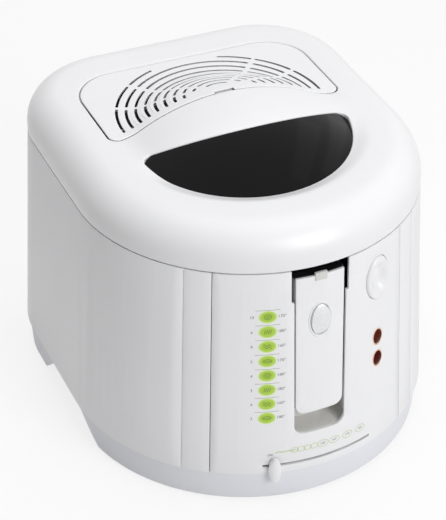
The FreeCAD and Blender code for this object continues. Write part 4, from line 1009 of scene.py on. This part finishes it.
# Finishes
class Finish:
    """A material with its shader and a few helpers for procedural detail."""

    def __init__(self, name):
        self.material = bpy.data.materials.new(name)
        self.material.use_nodes = True
        self.tree = self.material.node_tree
        self.shader = self.tree.nodes["Principled BSDF"]
        self.place = self.tree.nodes.new("ShaderNodeTexCoord").outputs

    def value(self, socket, value):
        self.shader.inputs[socket].default_value = value

    def drive(self, socket, source):
        self.tree.links.new(source, self.shader.inputs[socket])

    def noise(self, scale, detail=3.0, stretch=(1, 1, 1)):
        place = added(self.tree, "ShaderNodeMapping", {"Vector": self.place["Object"], "Scale": stretch})
        return added(self.tree, "ShaderNodeTexNoise", {"Vector": place, "Scale": scale, "Detail": detail})

    def parts(self, source):
        """The sockets X, Y and Z of a coordinate."""
        return added(self.tree, "ShaderNodeSeparateXYZ", {"Vector": self.place[source]}).node.outputs

    def colours(self, factor, stops):
        ramp = added(self.tree, "ShaderNodeValToRGB", {"Fac": factor})
        elements = ramp.node.color_ramp.elements
        while len(elements) < len(stops):
            elements.new(0.5)
        for element, (place, colour) in zip(elements, stops):
            element.position = place
            element.color = (*colour, 1)
        self.drive("Base Color", ramp)

    def mottled(self, factor, colour, share):
        """A colour that drifts down to a share of itself."""
        self.colours(factor, [(0.3, tuple(channel * share for channel in colour)), (0.7, colour)])

    def rise(self, factor, start, end):
        """From 0 at the start value to 1 at the end value."""
        return added(self.tree, "ShaderNodeMapRange", {"Value": factor, "From Min": start, "From Max": end})

    def both(self, first, second):
        return added(self.tree, "ShaderNodeMath", {0: first, 1: second}, "MULTIPLY")

    def tinted(self, factor, colour):
        """Another colour laid over the base colour where the factor is 1."""
        base = self.shader.inputs["Base Color"].links[0].from_socket
        mix = added(self.tree, "ShaderNodeMixRGB", {"Fac": factor, "Color1": base, "Color2": (*colour, 1)})
        self.drive("Base Color", mix)

    def roughness(self, factor, low, high):
        spread = added(self.tree, "ShaderNodeMapRange", {"Value": factor, "To Min": low, "To Max": high})
        self.drive("Roughness", spread)

    def bump(self, factor, strength, depth):
        bump = added(self.tree, "ShaderNodeBump", {"Height": factor, "Strength": strength, "Distance": depth})
        self.drive("Normal", bump)

    def grain(self, strength):
        """The fine eroded grain of a mould."""
        self.bump(self.noise(1500, 2), strength, 0.05 * MM)


def moulded_plastic(name, colour, roughness, grain=0.06):
    """Moulded plastic: faint colour drift, uneven gloss and a fine eroded grain."""
    finish = Finish(name)
    finish.mottled(finish.noise(9), colour, 0.975)
    finish.roughness(finish.noise(55, 4), roughness - 0.05, roughness + 0.06)
    finish.grain(grain)
    return finish.material


def dark_window():
    """Nearly black tinted pane with a polished face."""
    finish = Finish("dark_window")
    finish.colours(finish.noise(6), [(0.3, (0.004, 0.004, 0.0045)), (0.7, (0.006, 0.006, 0.0065))])
    finish.roughness(finish.noise(24, 4), 0.07, 0.12)
    finish.value("Specular IOR Level", 0.12)
    return finish.material


def sprayed_silver():
    finish = Finish("sprayed_silver")
    finish.colours(finish.noise(2400, 1), [(0.35, (0.68, 0.69, 0.70)), (0.65, (0.86, 0.87, 0.88))])
    finish.roughness(finish.noise(70), 0.3, 0.38)
    finish.value("Metallic", 0.35)
    finish.value("Coat Weight", 0.4)
    finish.value("Coat Roughness", 0.12)
    return finish.material


def lamp_lens(name, deep, bright):
    """Tinted lens, mottled from a deep to a brighter shade."""
    finish = Finish(name)
    finish.colours(finish.noise(420, 2, (1, 1, 2.5)), [(0.35, deep), (0.7, bright)])
    finish.roughness(finish.noise(60), 0.35, 0.45)
    finish.value("Specular IOR Level", 0.04)
    return finish.material


def bright_metal(name, colour, roughness, stretch=(1, 1, 1)):
    finish = Finish(name)
    lines = finish.noise(160, 5, stretch)
    finish.mottled(lines, colour, 0.85)
    finish.roughness(lines, roughness - 0.06, roughness + 0.08)
    finish.bump(lines, 0.05, 0.03 * MM)
    finish.value("Metallic", 1.0)
    return finish.material


def soft_rubber(name, colour):
    finish = Finish(name)
    finish.mottled(finish.noise(60), colour, 0.8)
    finish.roughness(finish.noise(130), 0.7, 0.88)
    finish.bump(finish.noise(900), 0.2, 0.1 * MM)
    return finish.material


def fibre_mat(name, colour, scale):
    finish = Finish(name)
    fibres = finish.noise(scale, 6, (1, 1, 3))
    finish.mottled(fibres, colour, 0.6)
    finish.bump(fibres, 0.8, 0.6 * MM)
    finish.value("Roughness", 0.95)
    return finish.material


def non_stick():
    """Dark coating with fine pale flecks."""
    finish = Finish("non_stick")
    finish.colours(finish.noise(700, 1), [(0.62, (0.02, 0.02, 0.022)), (0.72, (0.16, 0.16, 0.16))])
    finish.roughness(finish.noise(60), 0.36, 0.5)
    return finish.material


def recess_plastic():
    """Pale moulding below, with black painted as the shade in the well above the handle's pivot."""
    finish = Finish("recess_plastic")
    # Black painted as shade over the upper well
    shaded_upper = finish.rise(finish.parts("Object")["Z"], *WELL_SHADE_HEIGHTS)
    finish.colours(shaded_upper, [(0.0, (0.78, 0.775, 0.745)), (1.0, PAINTED_SHADE_BLACK)])
    finish.roughness(finish.noise(60), 0.45, 0.56)
    finish.grain(0.06)
    return finish.material


def grip_plastic(colour):
    """The handle's white moulding, with black painted as shade on its top end behind the skin, and a pale
    grey tab.
    """
    finish = Finish("grip_plastic")
    from_axis = added(finish.tree, "ShaderNodeMapping", {
        "Vector": finish.place["Object"], "Location": (0, -ARC_Y, 0), "Scale": (1, 1, 0),
    })
    reach = added(finish.tree, "ShaderNodeVectorMath", {0: from_axis}, "LENGTH").node.outputs["Value"]
    height = finish.parts("Object")["Z"]
    face = wall_radius(HANDLE_TOP) - HANDLE_SINK
    # Black painted as shade on the top end behind the face
    shade_top = finish.rise(height, *SHADE_HEIGHTS)
    behind = finish.rise(reach, *[face + out for out in SHADE_REACHES])
    by_tab = finish.rise(height, *PALE_HEIGHTS)
    before = finish.rise(reach, *[face + out for out in PALE_REACHES])
    finish.colours(finish.both(shade_top, behind), [(0.0, colour), (1.0, PAINTED_SHADE_BLACK)])
    finish.tinted(finish.both(by_tab, before), (0.66, 0.655, 0.63))
    finish.roughness(finish.noise(55, 4), 0.25, 0.36)
    finish.grain(0.03)
    return finish.material


def printed_ink(name, colour):
    finish = Finish(name)
    finish.mottled(finish.noise(900, 2), colour, 0.88)
    finish.roughness(finish.noise(300), 0.45, 0.6)
    return finish.material


def lime_print():
    """Lime green that pales towards the oval's edge."""
    finish = Finish("lime_print")
    finish.colours(finish.parts("UV")["X"], [
        (0.0, (0.40, 0.60, 0.06)),
        (0.72, (0.42, 0.64, 0.07)),
        (0.86, (0.58, 0.76, 0.22)),
        (1.0, (0.80, 0.86, 0.66)),
    ])
    finish.roughness(finish.noise(300), 0.45, 0.6)
    return finish.material


lid_white = moulded_plastic("lid_white", WHITE, 0.30, 0.03)
body_white = moulded_plastic("body_white", WHITE, 0.42, 0.08)
plinth_grey = moulded_plastic("plinth_grey", (0.78, 0.785, 0.83), 0.45, 0.08)
pale_grey = moulded_plastic("pale_grey", (0.60, 0.60, 0.59), 0.45)
black_plastic = moulded_plastic("black_plastic", (0.016, 0.016, 0.016), 0.45, 0.12)
bright_steel = bright_metal("bright_steel", (0.66, 0.66, 0.66), 0.24)
liner_metal = bright_metal("liner_metal", (0.74, 0.74, 0.74), 0.36, (1, 30, 1))
dark_green = printed_ink("dark_green", (0.10, 0.20, 0.02))
pale_green = printed_ink("pale_green", (0.52, 0.66, 0.22))
grey_ink = printed_ink("grey_ink", (0.16, 0.17, 0.18))
lamp_glow = printed_ink("lamp_glow", (0.86, 0.52, 0.33))
black_rubber = soft_rubber("black_rubber", (0.03, 0.03, 0.03))
seal_rubber = soft_rubber("seal_rubber", (0.42, 0.42, 0.41))

FINISHES = (
    (plinth_grey, "base_tray"),
    (recess_plastic(), "handle_well"),
    (black_plastic, "deck", "thermostat"),
    (non_stick(), "oil_pot"),
    (bright_metal("element_tube", (0.42, 0.40, 0.38), 0.4), "heating_element"),
    (liner_metal, "heat_shield", "lid_liner"),
    (pale_grey, "thermal_cutout", "terminal_block", "lamp_carrier"),
    (pale_grey, "latch_slide", "filter_tray", "lid_catch"),
    (bright_steel, "base_screws", "hinge_pins", "handle_pins"),
    (bright_steel, "thermostat_lever", "basket_rim", "basket_fork"),
    (dark_window(), "window_glass"),
    (fibre_mat("grease_mat", (0.74, 0.73, 0.69), 260), "grease_filter"),
    (fibre_mat("charcoal_foam", (0.05, 0.05, 0.05), 420), "charcoal_filter"),
    (seal_rubber, "lid_seal"),
)
EASED = {
    "outer_wall": (body_white, 0.5),
    "front_panel": (body_white, 0.4),
    "handle_grip": (grip_plastic(WHITE), 0.8),
    "handle_button": (sprayed_silver(), 0.4),
    "slider_knob": (lid_white, 0.5),
    "power_lamp_lens": (lamp_lens("amber_lens", (0.055, 0.007, 0.002), (0.11, 0.014, 0.003)), 0.25),
    "heat_lamp_lens": (lamp_lens("red_lens", (0.04, 0.001, 0.001), (0.085, 0.003, 0.003)), 0.25),
    "hinge_brackets": (body_white, 0.5),
    "lid_knuckles": (lid_white, 0.5),
    "rubber_feet": (black_rubber, 0.6),
    "cord_gland": (black_rubber, 0.5),
}

for material, *nodes in FINISHES:
    for node in nodes:
        paint(NODES[node], material)
for node, (material, width) in EASED.items():
    finished(eased_copy(node, width * MM), BODY_OF[node], material, SLOT_OF[node], node)

finished(lid_skin(), "lid", lid_white, "white_plastic", "lid_shell")
finished(cover_skin(), "filter_cover", lid_white, "white_plastic", "filter_cover")
finished(finger_tab(), "filter_cover", pale_grey, "white_plastic")
wire_basket(bright_steel)
guide_pieces(lime_print(), grey_ink, dark_green)
scale_pieces(pale_green, grey_ink)
lamp_edges(lamp_glow)
button_bead(lid_white)
finished(release_cap(), "lid_button", lid_white, "white_plastic", "lid_button")


# Studio
def seen_directly(tree):
    """1 for rays from the camera, a reflection or through glass, else 0."""
    path = tree.nodes.new("ShaderNodeLightPath").outputs
    seen = path["Is Camera Ray"]
    for label in ("Is Glossy Ray", "Is Transmission Ray"):
        seen = added(tree, "ShaderNodeMath", {0: seen, 1: path[label]}, "MAXIMUM")
    return seen


def studio_floor():
    """Pale floor that shows near white and keeps the object's shadow."""
    bpy.ops.mesh.primitive_plane_add(size=FLOOR_SIZE)
    floor = bpy.context.object
    floor.name = "floor"
    material = bpy.data.materials.new("pale_floor")
    material.use_nodes = True
    tree = material.node_tree
    matte = tree.nodes["Principled BSDF"]
    matte.inputs["Base Color"].default_value = (0.92, 0.92, 0.92, 1)
    matte.inputs["Roughness"].default_value = 0.9
    glow = added(tree, "ShaderNodeEmission", {"Strength": 1.0})
    share = added(tree, "ShaderNodeMath", {0: seen_directly(tree), 1: FLOOR_GLOW}, "MULTIPLY")
    mix = added(tree, "ShaderNodeMixShader", {"Fac": share, 1: matte.outputs["BSDF"], 2: glow})
    tree.links.new(mix, tree.nodes["Material Output"].inputs["Surface"])
    floor.data.materials.append(material)


def studio_world():
    """White where it is seen, dimmer as a light."""
    world = bpy.data.worlds.new("studio")
    bpy.context.scene.world = world
    world.use_nodes = True
    tree = world.node_tree
    background = tree.nodes["Background"]
    background.inputs["Color"].default_value = (1, 1, 1, 1)
    seen = seen_directly(tree)
    strength = added(tree, "ShaderNodeMapRange", {"Value": seen, "To Min": AMBIENT, "To Max": 1.0})
    tree.links.new(strength, background.inputs["Strength"])


def soft_lamp(name, place, aim, wide, tall, power, mirrored):
    """A rectangular lamp, mirrored or not in the polished faces."""
    light = bpy.data.lights.new(name, "AREA")
    light.shape = "RECTANGLE"
    light.size = wide
    light.size_y = tall
    light.energy = power
    lamp = new_object(name, light)
    lamp.visible_glossy = mirrored
    lamp.location = place
    lamp.rotation_euler = (Vector(aim) - Vector(place)).to_track_quat("-Z", "Y").to_euler()
    return lamp


def strip_lamp(name, low, high, aim, wide, power):
    """A narrow lamp between two points, mirrored as a soft band."""
    middle = (Vector(low) + Vector(high)) / 2
    run = Vector(high) - Vector(low)
    along = run.normalized()
    away = middle - Vector(aim)
    back = (away - along * away.dot(along)).normalized()
    lamp = soft_lamp(name, middle, aim, wide, run.length, power, True)
    lamp.rotation_euler = Matrix((along.cross(back), along, back)).transposed().to_euler()


def photo_camera():
    back = Vector((
        sin(VIEW_AZIMUTH) * cos(VIEW_ELEVATION),
        -cos(VIEW_AZIMUTH) * cos(VIEW_ELEVATION),
        sin(VIEW_ELEVATION),
    ))
    data = bpy.data.cameras.new("camera")
    data.sensor_width = SENSOR
    data.lens = FOCAL_PIXELS * SENSOR / FRAME_TALL
    data.shift_x = -CENTRE_RIGHT_PIXELS / FRAME_TALL
    data.shift_y = CENTRE_DOWN_PIXELS / FRAME_TALL
    camera = new_object("camera", data)
    turn = back.to_track_quat("Z", "Y").to_matrix().to_4x4() @ Matrix.Rotation(VIEW_ROLL, 4, "Z")
    camera.matrix_world = Matrix.Translation(VIEW_TARGET + back * VIEW_DISTANCE) @ turn
    bpy.context.scene.camera = camera


studio_floor()
studio_world()
soft_lamp("top", (0.1, 0.2, 1.9), (0, 0, 0.2), 1.5, 1.5, 20, False)
soft_lamp("front_right", (0.6, -1.9, 1.2), (0, 0, 0.12), 1.0, 1.2, 23, True)
strip_lamp("wide_band", (1.24, 1.01, 1.09), (0.87, -0.13, 1.82), BAND_AIM, 0.24, BAND_POWER)
strip_lamp("narrow_band", (1.39, 1.15, 0.58), (1.28, 0.02, 1.53), BAND_AIM, 0.17, BAND_POWER)
photo_camera()
bpy.context.scene.view_settings.view_transform = "Standard"
